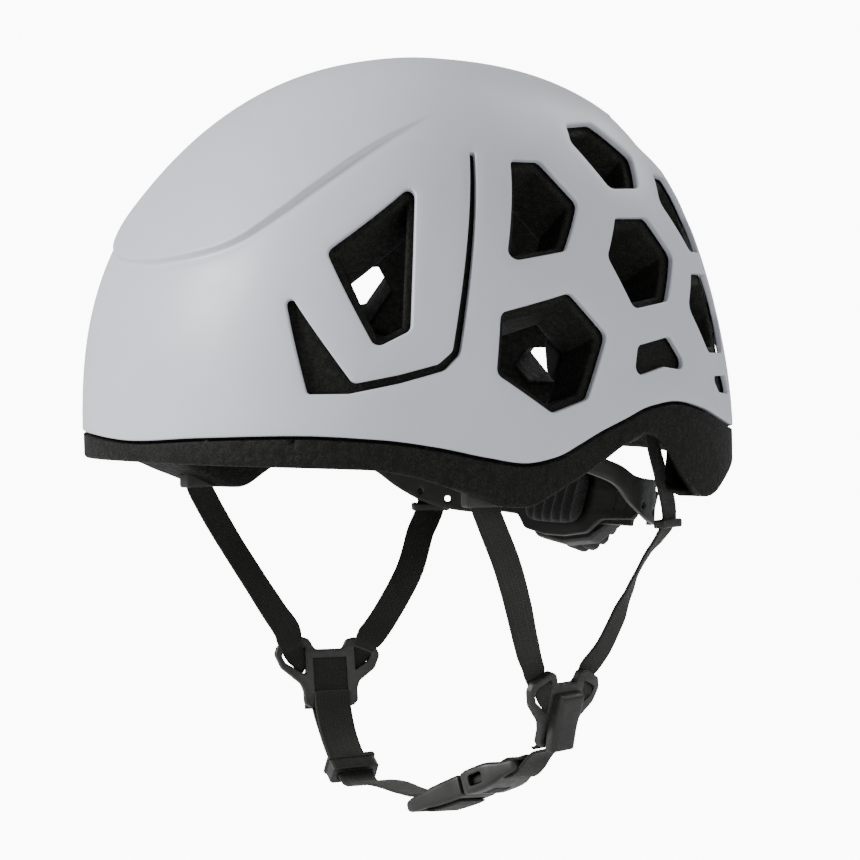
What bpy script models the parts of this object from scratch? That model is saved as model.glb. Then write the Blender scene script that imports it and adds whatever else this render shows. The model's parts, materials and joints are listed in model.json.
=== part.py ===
"""Climbing helmet: moulded outer shell over a vented foam liner, with a
dial-adjusted headband and a four-point chin harness.

Frame: metres, +Z up, the face looks along -Y, +X is the wearer's left.
The origin is the crown seat, the middle of the crown pad's flat underside.
All dimensions are millimetres (MM converts them). Azimuths are degrees from
the brow, turning towards the wearer's left.
"""
import bpy
import bmesh
import math
from mathutils import Vector, Matrix

MM = 0.001
SIDES = ((1, "left"), (-1, "right"))   # sign of X, name
UP = (0, 0, 1)

# Surface finishes
PALETTE = {
    "shell": dict(colour=(0.47, 0.49, 0.52), roughness=0.42, metallic=0.0),
    "foam": dict(colour=(0.012, 0.012, 0.012), roughness=0.80, metallic=0.0),
    "pad": dict(colour=(0.02, 0.02, 0.021), roughness=0.95, metallic=0.0),
    "plastic": dict(colour=(0.018, 0.018, 0.017), roughness=0.45, metallic=0.0),
    "webbing": dict(colour=(0.022, 0.022, 0.020), roughness=0.85, metallic=0.0),
    "steel": dict(colour=(0.45, 0.45, 0.46), roughness=0.35, metallic=1.0),
}


# ================================================================ scene
for old in list(bpy.data.objects):
    bpy.data.objects.remove(old, do_unlink=True)

PARTS = bpy.data.collections.new("climbing_helmet")
CUTTERS = bpy.data.collections.new("cutters")
bpy.context.scene.collection.children.link(PARTS)
bpy.context.scene.collection.children.link(CUTTERS)


# ================================================================ helpers
def material(name, colour, roughness, metallic):
    made = bpy.data.materials.new(name)
    made.use_nodes = True
    inputs = made.node_tree.nodes["Principled BSDF"].inputs
    inputs["Base Color"].default_value = (*colour, 1.0)
    inputs["Roughness"].default_value = roughness
    inputs["Metallic"].default_value = metallic
    return made


def mesh_object(name, bm, kind):
    """Object from a bmesh; a kind of None makes a hidden cutter."""
    mesh = bpy.data.meshes.new(name)
    bm.normal_update()
    bm.to_mesh(mesh)
    bm.free()
    ob = bpy.data.objects.new(name, mesh)
    if kind is None:
        CUTTERS.objects.link(ob)
        ob.hide_render = True
        ob.display_type = 'WIRE'
    else:
        PARTS.objects.link(ob)
        mesh.materials.append(material(name + "_material", **PALETTE[kind]))
    return ob


def subtract(ob, cutter):
    cut = ob.modifiers.new(cutter.name, 'BOOLEAN')
    cut.operation = 'DIFFERENCE'
    cut.solver = 'EXACT'
    cut.object = cutter


def solidify(ob, name, thick, offset, even=False):
    wall = ob.modifiers.new(name, 'SOLIDIFY')
    wall.thickness = thick * MM
    wall.offset = offset
    wall.use_even_offset = even


def mirror(p, sign):
    return (p[0] * sign, p[1], p[2])


def square_to(v, axis):
    """Unit vector along the part of v that is square to a unit axis."""
    return (v - axis * v.dot(axis)).normalized()


def frame_of(origin, u, v):
    """Placement matrix with local X on u, local Y on v and local Z across."""
    u = Vector(u).normalized()
    v = square_to(Vector(v), u)
    w = u.cross(v)
    frame = Matrix.Identity(4)
    for i in range(3):
        frame[i][0], frame[i][1], frame[i][2] = u[i], v[i], w[i]
        frame[i][3] = origin[i] * MM
    return frame


def cap(name, kind, pole, rings, flat_end=False, end_point=None):
    """Rings of points closed at the pole, and optionally at the other end."""
    bm = bmesh.new()
    top = bm.verts.new(pole * MM)
    rows = [[bm.verts.new(p * MM) for p in ring] for ring in rings]
    n = len(rows[0])
    neighbours = [(j, (j + 1) % n) for j in range(n)]
    for j, k in neighbours:
        bm.faces.new((top, rows[0][j], rows[0][k]))
    for upper, lower in zip(rows, rows[1:]):
        for j, k in neighbours:
            bm.faces.new((upper[j], lower[j], lower[k], upper[k]))
    last = rows[-1]
    if flat_end:
        bm.faces.new(last[::-1])
    if end_point:
        end = bm.verts.new(end_point * MM)
        for j, k in neighbours:
            bm.faces.new((last[k], last[j], end))
    bmesh.ops.recalc_face_normals(bm, faces=bm.faces)
    return mesh_object(name, bm, kind)


def add_prism(bm, corners, direction, inner, outer):
    """Closed prism on a corner loop, swept both ways along a direction."""
    low = [bm.verts.new((c - direction * inner) * MM) for c in corners]
    high = [bm.verts.new((c + direction * outer) * MM) for c in corners]
    bm.faces.new(low[::-1])
    bm.faces.new(high)
    n = len(corners)
    for i in range(n):
        k = (i + 1) % n
        bm.faces.new((low[i], low[k], high[k], high[i]))


def plate(name, kind, outline, holes, thick, origin, u, v):
    """Flat outline with holes, extruded to a thickness about its mid-plane."""
    curve = bpy.data.curves.new(name, 'CURVE')
    curve.dimensions = '2D'
    curve.fill_mode = 'BOTH'
    curve.extrude = thick * 0.5 * MM
    for loop in [outline] + list(holes):
        spline = curve.splines.new('POLY')
        spline.points.add(len(loop) - 1)
        for point, (x, y) in zip(spline.points, loop):
            point.co = (x * MM, y * MM, 0.0, 1.0)
        spline.use_cyclic_u = True
    outline_ob = bpy.data.objects.new(name + "_outline", curve)
    PARTS.objects.link(outline_ob)
    bpy.context.view_layer.update()
    depsgraph = bpy.context.evaluated_depsgraph_get()
    filled = bpy.data.meshes.new_from_object(outline_ob.evaluated_get(depsgraph))
    bpy.data.objects.remove(outline_ob, do_unlink=True)
    bm = bmesh.new()
    bm.from_mesh(filled)
    bpy.data.meshes.remove(filled)
    # the curve's caps and sides arrive unjoined
    bmesh.ops.remove_doubles(bm, verts=bm.verts, dist=0.02 * MM)
    bmesh.ops.recalc_face_normals(bm, faces=bm.faces)
    ob = mesh_object(name, bm, kind)
    ob.matrix_world = frame_of(origin, u, v)
    return ob


def box(name, kind, size, origin, u, v, bevel=0.0):
    bm = bmesh.new()
    bmesh.ops.create_cube(bm, size=1.0)
    bmesh.ops.scale(bm, vec=Vector(size) * MM, verts=bm.verts)
    ob = mesh_object(name, bm, kind)
    ob.matrix_world = frame_of(origin, u, v)
    if bevel:
        edge = ob.modifiers.new("edge", 'BEVEL')
        edge.width = bevel * MM
        edge.segments = 1
        edge.limit_method = 'ANGLE'
    return ob


def turned(name, kind, profile, origin, axis, steps=16):
    """Piece turned about a level axis; profile of (radius, distance along it)."""
    bm = bmesh.new()
    points = [bm.verts.new((radius * MM, 0.0, along * MM)) for radius, along in profile]
    for pair in zip(points, points[1:]):
        bm.edges.new(pair)
    ob = mesh_object(name, bm, kind)
    turn = ob.modifiers.new("turn", 'SCREW')
    turn.steps = steps
    turn.render_steps = steps
    turn.use_merge_vertices = True
    turn.merge_threshold = 0.01 * MM
    turn.use_smooth_shade = False
    axis = Vector(axis)
    u = Vector(UP).cross(axis)
    ob.matrix_world = frame_of(origin, u, axis.cross(u))
    return ob


def run(points, across):
    """Ribbon stations that share one direction across the band."""
    return [(p, across) for p in points]


def ribbon(name, kind, stations, width, thick):
    """Flat band through (point, direction across) stations.

    The width is one number, or a list with one for each station.
    """
    n = len(stations)
    widths = width if isinstance(width, list) else [width] * n
    bm = bmesh.new()
    bmesh.ops.create_grid(bm, x_segments=n - 1, y_segments=1, size=0.5)
    order = sorted(bm.verts, key=lambda vert: (vert.co.x, vert.co.y))
    for i, (point, across) in enumerate(stations):
        half = Vector(across).normalized() * widths[i] * 0.5
        order[2 * i].co = (Vector(point) - half) * MM
        order[2 * i + 1].co = (Vector(point) + half) * MM
    ob = mesh_object(name, bm, kind)
    solidify(ob, "wall", thick, offset=0.0, even=True)
    return ob


def rectangle(x0, x1, y0, y1):
    return [(x0, y0), (x1, y0), (x1, y1), (x0, y1)]


def rounded(half_x, half_y, radius, steps=3):
    """Rectangle with rounded corners."""
    cx, cy = half_x - radius, half_y - radius
    points = []
    for x, y, start in ((cx, cy, 0), (-cx, cy, 90), (-cx, -cy, 180), (cx, -cy, 270)):
        for i in range(steps + 1):
            angle = math.radians(start + 90.0 * i / steps)
            points.append((x + radius * math.cos(angle), y + radius * math.sin(angle)))
    return points


def polar(radius, angle):
    return (radius * math.cos(angle), radius * math.sin(angle))


def lobed(count, profile):
    """Closed loop of repeats; profile of (fraction of the pitch, radius)."""
    return [polar(radius, 2 * math.pi * (i + fraction) / count)
            for i in range(count) for fraction, radius in profile]


# ================================================================ dome form
SHELL_TOP = 32.0          # height of the shell's top above the crown seat
SHELL_HEIGHT = 159.5      # top to the base plane where the wall is upright
BASE = SHELL_TOP - SHELL_HEIGHT
HALF_WIDTH = 108.5
HALF_FRONT = 133.5
HALF_REAR = 135.0
PLAN_POWER = 2.35         # plan outline: superellipse exponent
SIDE_POWER, FRONT_POWER, REAR_POWER = 2.38, 2.07, 2.53
SIDE_SWELL, FRONT_SWELL, REAR_SWELL = 0.004, 0.028, -0.041
FRONT_TUCK = 0.022        # draws the front in near the base plane
NORMAL_STEP = 0.5         # degrees and mm either side, for the surface normal

COLUMNS = 48              # facets round the dome
AZIMUTHS = [360.0 * j / COLUMNS for j in range(COLUMNS)]

# head cavity in the liner
CAVITY_TOP = 8.0
CAVITY_HALF_WIDTH = 86.0
CAVITY_FRONT = 105.0
CAVITY_REAR = 111.0
CAVITY_POWER = 2.4


def plan_point(azimuth, half_width, half_front, half_rear, z):
    """Point on the superellipse plan outline at an azimuth."""
    turn = math.radians(azimuth)
    dx, dy = math.sin(turn), -math.cos(turn)
    half_length = half_front if dy < 0 else half_rear
    total = (abs(dx) / half_width) ** PLAN_POWER + (abs(dy) / half_length) ** PLAN_POWER
    radius = 1.0 / total ** (1 / PLAN_POWER)
    return Vector((radius * dx, radius * dy, z))


def swell(u, power, amount, tuck=0.0):
    """Share of the half size left at u, which is 0 at the base and 1 at the top."""
    return ((1 - u ** power) ** (1 / power)
            * (1 + amount * math.sin(math.pi * u) ** 2 - tuck * (1 - u) ** 3))


def shell_point(azimuth, z):
    """Point on the shell's outer face; the wall is upright below the base plane."""
    u = max((z - BASE) / SHELL_HEIGHT, 0.0)
    return plan_point(azimuth,
                      HALF_WIDTH * swell(u, SIDE_POWER, SIDE_SWELL),
                      HALF_FRONT * swell(u, FRONT_POWER, FRONT_SWELL, FRONT_TUCK),
                      HALF_REAR * swell(u, REAR_POWER, REAR_SWELL), z)


def dome_normal(azimuth, z):
    """Outward normal of the shell's outer face."""
    step = NORMAL_STEP
    around = shell_point(azimuth + step, z) - shell_point(azimuth - step, z)
    upward = shell_point(azimuth, z + step) - shell_point(azimuth, z - step)
    return around.cross(upward).normalized()


def dome_point(azimuth, z, depth=0.0):
    """Point a depth in from the shell's outer face, along the normal."""
    return shell_point(azimuth, z) - dome_normal(azimuth, z) * depth


def cavity_point(azimuth, z, depth=0.0):
    """Point on the head cavity's wall; depth is measured into the cavity."""
    u = max((z - BASE) / (CAVITY_TOP - BASE), 0.0)
    share = (1 - u ** CAVITY_POWER) ** (1 / CAVITY_POWER)
    return plan_point(azimuth, CAVITY_HALF_WIDTH * share - depth,
                      CAVITY_FRONT * share - depth, CAVITY_REAR * share - depth, z)


def ring_heights(top, rows):
    """Heights of the rings from just under the pole down to the base plane."""
    return [BASE + (top - BASE) * math.cos(0.5 * math.pi * i / rows)
            for i in range(1, rows + 1)]


def edge_height(table, azimuth):
    """Height on a lower edge at an azimuth, eased between the stations."""
    a = abs((azimuth + 180.0) % 360.0 - 180.0)
    for (a0, h0), (a1, h1) in zip(table, table[1:]):
        if a <= a1:
            t = (a - a0) / (a1 - a0)
            t = t * t * (3 - 2 * t) * 0.5 + t * 0.5
            return h0 + (h1 - h0) * t


# ================================================================ vents
# corners as (azimuth, height); the side vents are mirrored to the right
SIDE_VENTS = {
    "kite": [(54, -22), (38, -48), (47, -83), (53, -77)],
    "clip_slot": [(31, -60), (36, -100), (43, -100), (59, -91.5), (62.2, -86),
                  (69.3, -11), (68, -10.8), (60.6, -85.2), (57.8, -89.3),
                  (43.2, -96.3)],
    "temple_low": [(71, -71), (89, -63), (97, -79), (91, -102), (82, -107),
                   (69.5, -92)],
    "temple_high": [(80, -13), (88, -13), (96, -29), (89, -47), (73.5, -51)],
    "upper": [(107, 3), (119, 4.5), (126, -8), (120, -21), (109, -22), (104, -5)],
    "middle": [(107, -34), (118, -33), (123, -47), (117, -65), (106, -68),
               (101, -49)],
    "lower": [(106, -82), (116, -79), (121, -92), (104, -94)],
    "rear_high": [(127, -28), (132, -15), (142, -15), (147, -30), (141, -45),
                  (133, -45)],
    "rear_low": [(125, -68), (130, -54), (141, -54), (146, -69), (141, -85),
                 (130, -85)],
    "rear_top": [(137, -4), (140, 9), (151, 10), (157, 0), (153, -11), (144, -11)],
    "nape_mid": [(150, -49), (155, -34), (165, -34), (170, -49), (165, -64),
                 (155, -64)],
    "nape_low": [(151, -84), (155, -73), (165, -73), (169, -84), (165, -96),
                 (155, -96)],
    "edge": [(131, -94), (140, -94), (143, -102), (134, -101)],
}
REAR_VENTS = [   # on the centre line
    [(170, -20), (175, -33), (185, -33), (190, -20), (185, -7), (175, -7)],
    [(173.5, -70), (177, -57), (183, -57), (186.5, -70), (183, -85), (177, -85)],
]
LINER_BLIND = ("clip_slot", "edge", "lower")   # cut in the shell only
VENT_REACH_OUT = 12.0     # cutters stand this far outside the shell
SHELL_VENT_DEPTH = 9.0
LINER_VENT_DEPTH = 40.0
LINER_VENT_SHRINK = 3.0   # liner vent corners move this far towards the middle


def vent_cutter(name, depth, shrink=0.0, skip=()):
    loops = []
    for key, corners in SIDE_VENTS.items():
        if key not in skip:
            loops.append(corners)
            loops.append([(360 - a, z) for a, z in reversed(corners)])
    bm = bmesh.new()
    for corners in loops + REAR_VENTS:
        points = [dome_point(a, z) for a, z in corners]
        middle = sum(points, Vector()) / len(points)
        direction = dome_normal(sum(a for a, z in corners) / len(corners),
                                sum(z for a, z in corners) / len(corners))
        points = [p + (middle - p).normalized() * shrink for p in points]
        add_prism(bm, points, direction, depth, VENT_REACH_OUT)
    bmesh.ops.recalc_face_normals(bm, faces=bm.faces)
    return mesh_object(name, bm, None)


# ================================================================ shell, liner
SHELL_WALL = 2.2
LINER_DEPTH = 3.5         # liner's outer face, measured in from the shell's
# the dome's common rings stop above the lower edges
UPPER_HEIGHTS = [h for h in ring_heights(SHELL_TOP, 11) if h > -98.0]
LINER_SHOULDER = -112.0   # lowest height of the liner's ring level with the shell rim
LINER_FLOOR = -150.0      # point that closes the liner's blank below
CAVITY_ROWS = 9
CAVITY_SKIRT = 60.0       # cutter's upright wall below the base plane

# lower edges, (azimuth, height), the same on both sides
SHELL_RIM = [(0, -118), (35, -115.5), (58, -119.5), (76, -126), (89, -119),
             (105, -106), (116, -104), (128, -107.5), (140, -114), (180, -116)]
LINER_RIM = [(0, -126.5), (46, -127.5), (58, -133), (67, -138), (72, -142),
             (76.5, -142.3), (82.5, -138), (89, -132), (96, -125.3),
             (100.2, -120.7), (104, -117.4), (108, -115.5), (111, -118),
             (114.5, -125), (117, -130), (120.5, -136), (125, -140.8),
             (129, -139.8), (134, -137.6), (140, -133.5), (148, -129),
             (160, -126), (180, -124)]


def build_shell():
    rings = [[dome_point(a, h) for a in AZIMUTHS] for h in UPPER_HEIGHTS]
    rings.append([dome_point(a, edge_height(SHELL_RIM, a)) for a in AZIMUTHS])
    shell = cap("outer_shell", "shell", Vector((0, 0, SHELL_TOP)), rings)
    solidify(shell, "wall", SHELL_WALL, offset=-1.0)
    subtract(shell, vent_cutter("shell_vents", SHELL_VENT_DEPTH))


def build_liner():
    """Solid foam blank, hollowed by the head cavity and then vented."""
    rings = [[dome_point(a, h, LINER_DEPTH) for a in AZIMUTHS] for h in UPPER_HEIGHTS]
    rings.append([dome_point(a, max(edge_height(SHELL_RIM, a), LINER_SHOULDER), LINER_DEPTH)
                  for a in AZIMUTHS])
    rings.append([dome_point(a, edge_height(LINER_RIM, a), LINER_DEPTH) for a in AZIMUTHS])
    liner = cap("foam_liner", "foam", Vector((0, 0, SHELL_TOP - LINER_DEPTH)), rings,
                end_point=Vector((0, 0, LINER_FLOOR)))

    heights = ring_heights(CAVITY_TOP, CAVITY_ROWS) + [BASE - CAVITY_SKIRT]
    rings = [[cavity_point(a, h) for a in AZIMUTHS[::2]] for h in heights]
    subtract(liner, cap("head_cavity", None, Vector((0, 0, CAVITY_TOP)), rings,
                        flat_end=True))
    subtract(liner, vent_cutter("liner_vents", LINER_VENT_DEPTH, LINER_VENT_SHRINK,
                                LINER_BLIND))
    return liner


# ================================================================ strap anchors
# sizes are (along, up, across)
ANCHOR_SIZE = (16.0, 10.0, 6.0)
ANCHOR_BEVEL = 0.8
FRONT_ALONG = (-0.12, 0.993, 0.0)
REAR_ALONG = (-0.50, 0.866, 0.0)
ANCHORS = [   # name, centre on the left, direction along
    ("front_anchor_", (89.0, -25.0, -137.0), FRONT_ALONG),
    ("rear_anchor_", (83.6, 53.6, -108.0), REAR_ALONG),
]
POCKET_CLEARANCE = 0.4
POCKET_HEIGHT = 40.0
RELIEF_SIZE = (48.0, 60.0, 20.0)
RELIEF_CENTRE = (79.0, 52.0, -142.5)


def build_anchors(liner):
    """Moulded plugs in pockets in the liner's lower edge."""
    length, height, width = ANCHOR_SIZE
    pocket_size = (length + 2 * POCKET_CLEARANCE, POCKET_HEIGHT, width + 2 * POCKET_CLEARANCE)
    pocket_rise = height / 2 + POCKET_CLEARANCE - POCKET_HEIGHT / 2
    for sign, side in SIDES:
        for name, centre, along in ANCHORS:
            at = mirror(centre, sign)
            along = mirror(along, sign)
            box(name + side, "plastic", ANCHOR_SIZE, at, along, UP, bevel=ANCHOR_BEVEL)
            subtract(liner, box(name + side + "_pocket", None, pocket_size,
                                (at[0], at[1], at[2] + pocket_rise), along, UP))


def cut_strap_reliefs(liner):
    """Relief in the rear lobes' inner face, where the rear straps come down."""
    for sign, side in SIDES:
        subtract(liner, box("strap_relief_" + side, None, RELIEF_SIZE,
                            mirror(RELIEF_CENTRE, sign), mirror(REAR_ALONG, sign), UP))


# ================================================================ pads
# name, azimuths from and to, heights from and to, columns, clearance, thickness
WALL_PADS = [
    ("brow_pad", -38, 38, -118, -98, 10, 2.2, 5.0),
    ("side_pad_left", 92, 122, -98, -76, 5, 2.6, 4.0),
    ("side_pad_right", 238, 268, -98, -76, 5, 2.6, 4.0),
]
WALL_PAD_ROWS = 2
CROWN_PAD_FACETS = 28
CROWN_PAD_HALF_WIDTH, CROWN_PAD_HALF_LENGTH = 27.0, 36.0
CROWN_GAP = 1.6           # pad to cavity ceiling, over the middle
CROWN_EDGE_GAP = 1.8      # the same at the pad's edge


def build_wall_pad(name, a0, a1, z0, z1, columns, clearance, thick):
    """Cushion lying along the cavity wall."""
    bm = bmesh.new()
    bmesh.ops.create_grid(bm, x_segments=columns, y_segments=WALL_PAD_ROWS, size=0.5)
    for vert in bm.verts:
        azimuth = a0 + (a1 - a0) * (vert.co.x + 0.5)
        z = z0 + (z1 - z0) * (vert.co.y + 0.5)
        vert.co = cavity_point(azimuth, z, clearance + thick * 0.5) * MM
    solidify(mesh_object(name, bm, "pad"), "pad", thick, offset=0.0)


def ceiling(x, y):
    """Height of the cavity's ceiling, with the front half's plan."""
    r = ((abs(x) / CAVITY_HALF_WIDTH) ** PLAN_POWER
         + (abs(y) / CAVITY_FRONT) ** PLAN_POWER) ** (1 / PLAN_POWER)
    return BASE + (CAVITY_TOP - BASE) * (1 - r ** CAVITY_POWER) ** (1 / CAVITY_POWER)


def build_crown_pad():
    """Pad that is flat underneath; its top follows the cavity's ceiling."""
    edge = []
    for j in range(CROWN_PAD_FACETS):
        turn = 2 * math.pi * j / CROWN_PAD_FACETS
        edge.append((CROWN_PAD_HALF_WIDTH * math.sin(turn),
                     -CROWN_PAD_HALF_LENGTH * math.cos(turn)))
    halfway = [(x * 0.5, y * 0.5) for x, y in edge]
    rings = [[Vector((x, y, ceiling(x, y) - CROWN_GAP)) for x, y in halfway],
             [Vector((x, y, ceiling(x, y) - CROWN_EDGE_GAP)) for x, y in edge],
             [Vector((x, y, 0.0)) for x, y in edge]]
    cap("crown_pad", "pad", Vector((0, 0, CAVITY_TOP - CROWN_GAP)), rings, flat_end=True)


# ================================================================ headband arms
PIVOT_Y, PIVOT_Z = -30.0, -112.0      # the headband's tilt axis
EYE_X, PIN_X = 80.5, 80.2
# left arm, front to rear: x, y, z and the band's height there
ARM_PATH = [(79.5, -41, -111, 12), (EYE_X, PIVOT_Y, PIVOT_Z, 13), (81, -18, -115, 9),
            (81, 5, -121, 7.5), (80.0, 24, -127.2, 7.5), (78.2, 42, -132.8, 8),
            (75.0, 52.2, -138.6, 11), (72.6, 59.2, -141.4, 14), (69.3, 65.6, -143.4, 16.5),
            (64.2, 73.4, -145.0, 18), (55.5, 80, -146, 18)]
ARM_ACROSS = (0, 0.06, 1)
ARM_WALL = 1.8
# (radius, distance outwards)
EYE_PROFILE = [(0, 6), (3.4, 6), (3.4, -6), (0, -6)]
PIN_PROFILE = [(0, 1.7), (3.0, 1.7), (3.0, -1.5), (5.6, -1.5), (5.0, -3.0), (0, -3.0)]


def build_arm(sign, side):
    """Arm with an eye, and a snap pin whose head is inside the arm."""
    path = [mirror(station[:3], sign) for station in ARM_PATH]
    arm = ribbon("headband_arm_" + side, "plastic", run(path, ARM_ACROSS),
                 [station[3] for station in ARM_PATH], ARM_WALL)
    subtract(arm, turned("arm_eye_" + side, None, EYE_PROFILE,
                         (EYE_X * sign, PIVOT_Y, PIVOT_Z), (1, 0, 0)))
    turned("temple_pin_" + side, "plastic", PIN_PROFILE,
           (PIN_X * sign, PIVOT_Y, PIVOT_Z), (sign, 0, 0))


# ================================================================ rear adjuster
CRADLE_CENTRE = Vector((0.0, 81.0, -146.0))
CRADLE_LEAN = math.radians(18.0)      # the top leans back over the nape
REAR_U = (-1, 0, 0)                   # local X, towards the wearer's right
REAR_UP = Vector((0, math.cos(math.pi / 2 - CRADLE_LEAN), math.cos(CRADLE_LEAN)))
REAR_OUT = Vector((0, math.cos(CRADLE_LEAN), -math.sin(CRADLE_LEAN)))

CRADLE_OUTLINE = [(-48, -7.5), (-27, -8.5), (-20, -14.5), (-6, -16.5), (6, -16.5),
                  (20, -14.5), (27, -8.5), (48, -7.5), (48, 7.5), (27, 8.5), (20, 14.5),
                  (6, 16.5), (-6, 16.5), (-20, 14.5), (-27, 8.5), (-48, 7.5)]
HOUSING_OUTLINE = [(-29, -8), (-17, -16.5), (0, -18.6), (17, -16.5), (29, -8), (29, 8),
                   (17, 16.5), (0, 18.6), (-17, 16.5), (-29, 8)]
HOUSING_BORE = 12.0
BORE_FACETS = 20

RACK_START, RACK_END = -13.0, 43.5
RACK_BASE, RACK_TIP, RACK_TOP = 5.1, 4.15, 9.6   # distances from the dial's axis
RACK_TEETH, RACK_PITCH = 9, 3.2
RACK_LEAD = 1.2                       # plain edge before the first tooth
TOOTH_PROFILE = [(0, RACK_BASE), (0.7, RACK_TIP), (1.4, RACK_TIP), (2.1, RACK_BASE)]

PINION_TEETH = 8
PINION_ROOT, PINION_TIP = 3.1, 3.8
SPRING_OUTER, SPRING_INNER = 10.4, 9.2
SPRING_START, SPRING_SWEEP, SPRING_STEPS = 20, 320, 20   # degrees, degrees, count

DIAL_RADIUS, DIAL_LOBES = 19.0, 18
DIAL_GROOVE = DIAL_RADIUS - 1.1       # radius at the bottom of the grooves


def rear(out):
    """Point on the dial's axis, this far behind the cradle's middle."""
    return CRADLE_CENTRE + REAR_OUT * out


def rear_plate(name, outline, thick, out, holes=(), kind="plastic"):
    plate(name, kind, outline, holes, thick, rear(out), REAR_U, REAR_UP)


def rack_outline(direction):
    """Toothed strip: the teeth face the pinion, the plain end faces out."""
    points = [(RACK_START, RACK_BASE)]
    for i in range(RACK_TEETH):
        start = RACK_START + RACK_LEAD + i * RACK_PITCH
        points += [(start + x, y) for x, y in TOOTH_PROFILE]
    points += [(RACK_END, RACK_BASE), (RACK_END, RACK_TOP), (RACK_START, RACK_TOP)]
    return [(x * direction, y * direction) for x, y in points]


def spring_outline():
    """Open ring: out along one edge and back along the other."""
    angles = [math.radians(SPRING_START + SPRING_SWEEP * i / SPRING_STEPS)
              for i in range(SPRING_STEPS + 1)]
    return ([polar(SPRING_OUTER, angle) for angle in angles]
            + [polar(SPRING_INNER, angle) for angle in reversed(angles)])


def build_rear_adjuster():
    """Cradle, racks, pinion, housing, click spring, dial and nape pad."""
    rear_plate("rear_cradle", CRADLE_OUTLINE, 2.0, 0.0, holes=[rounded(9, 3, 2.5)])
    rear_plate("dial_housing", HOUSING_OUTLINE, 6.6, 7.3,
               holes=[lobed(BORE_FACETS, [(0.0, HOUSING_BORE)])])
    for sign, side in SIDES:
        rear_plate("rack_" + side, rack_outline(-sign), 1.6, 2.4)
    rear_plate("pinion", lobed(PINION_TEETH, [(0.0, PINION_ROOT), (0.28, PINION_ROOT),
                                              (0.42, PINION_TIP), (0.72, PINION_TIP)]),
               8.6, 6.2)
    rear_plate("click_spring", spring_outline(), 2.4, 7.6, kind="steel")
    rear_plate("adjuster_dial", lobed(DIAL_LOBES, [(0.0, DIAL_RADIUS), (0.5, DIAL_RADIUS),
                                                   (0.66, DIAL_GROOVE), (0.84, DIAL_GROOVE)]),
               8.0, 15.4)
    box("nape_pad", "pad", (36, 24, 4.6), rear(-4.4), REAR_U, REAR_UP, bevel=1.6)


# ================================================================ dividers
DIVIDER_CENTRE = Vector((76.3, 14.5, -223.4))
DIVIDER_LEAN = math.radians(12.0)     # the lower end leans in towards the jaw
DIVIDER_WALL = 3.2
# left divider's axes: towards the rear, up its face, and outwards
DIVIDER_ALONG = Vector((-0.275, 0.961, 0.0)).normalized()
DIVIDER_UP = (Vector(UP) * math.cos(DIVIDER_LEAN)
              + DIVIDER_ALONG.cross(Vector(UP)) * math.sin(DIVIDER_LEAN))
DIVIDER_OUT = DIVIDER_ALONG.cross(DIVIDER_UP)

DIVIDER_OUTLINE = [
    (-24.0, 10.2), (-22.5, 13.8), (-11.9, 17.4), (-8.6, 16.2), (-6, 11.6),
    (6.5, 11.6), (8.7, 15.6), (12.2, 16.2), (21.4, 12.4), (23.2, 8.0),
    (20.5, 2.4), (12.6, -3.0), (11.2, -6.0), (11.2, -10.8), (9.2, -12.6),
    (-9.2, -12.6), (-11.2, -10.8), (-11.2, -6.0), (-12.6, -3.0), (-21.4, 4.2)]
FRONT_EAR = ((-16.2, 12.2), math.radians(22.0))   # slot centre and its slope
REAR_EAR = ((15.6, 11.0), math.radians(-24.0))
EAR_SLOT_LENGTH, EAR_SLOT_HEIGHT = 13.2, 3.0
LOW_SLOT = rectangle(-8.6, 8.6, -8.9, -5.0)
LOW_BAR = -10.7                       # height of the chin strap's bar
LOCK_PROFILE = [(11.2, 3.4), (8.5, 5.2), (0.0, 5.6), (-7.0, 5.8), (-12.5, 7.8)]  # up, out
LOCK_WIDTH, LOCK_WALL = 17.0, 1.6


def divider_point(along, up, out, sign):
    return mirror(DIVIDER_CENTRE + DIVIDER_ALONG * along + DIVIDER_UP * up
                  + DIVIDER_OUT * out, sign)


def ear_slot(centre, slope):
    c, s = math.cos(slope), math.sin(slope)
    half_x, half_y = EAR_SLOT_LENGTH / 2, EAR_SLOT_HEIGHT / 2
    return [(centre[0] + x * c - y * s, centre[1] + x * s + y * c)
            for x, y in rectangle(-half_x, half_x, -half_y, half_y)]


def build_divider(sign, side):
    """Divider plate, and the hinged lock over the chin strap on its outer face."""
    along = mirror(DIVIDER_ALONG, sign)
    plate("divider_" + side, "plastic", DIVIDER_OUTLINE,
          [ear_slot(*FRONT_EAR), ear_slot(*REAR_EAR), LOW_SLOT], DIVIDER_WALL,
          mirror(DIVIDER_CENTRE, sign), along, mirror(DIVIDER_UP, sign))
    ribbon("divider_lock_" + side, "plastic",
           run([divider_point(0, up, out, sign) for up, out in LOCK_PROFILE], along),
           LOCK_WIDTH, LOCK_WALL)


# ================================================================ side straps
SIDE_STRAP_WIDTH, CHIN_STRAP_WIDTH = 12.0, 16.0
WEBBING = 1.2
# left straps from anchor towards the divider: (point, direction across)
FRONT_ROUTE = [((88.0, -27.0, -147.0), FRONT_ALONG), ((85.5, -18.0, -168.0), FRONT_ALONG)]
REAR_ROUTE = [
    ((83.6, 54.2, -120.0), (-0.45, 0.80, 0.40)),
    ((81.2, 62.5, -134.0), (-0.45, 0.80, 0.40)),
    ((77.5, 70.9, -149.0), (-0.4, 0.91, 0.1)),
    ((77.0, 68.2, -156.5), (-0.40, 0.90, -0.15)),
    ((76.6, 57.0, -170.0), (-0.62, 0.76, -0.2)),
]
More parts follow.
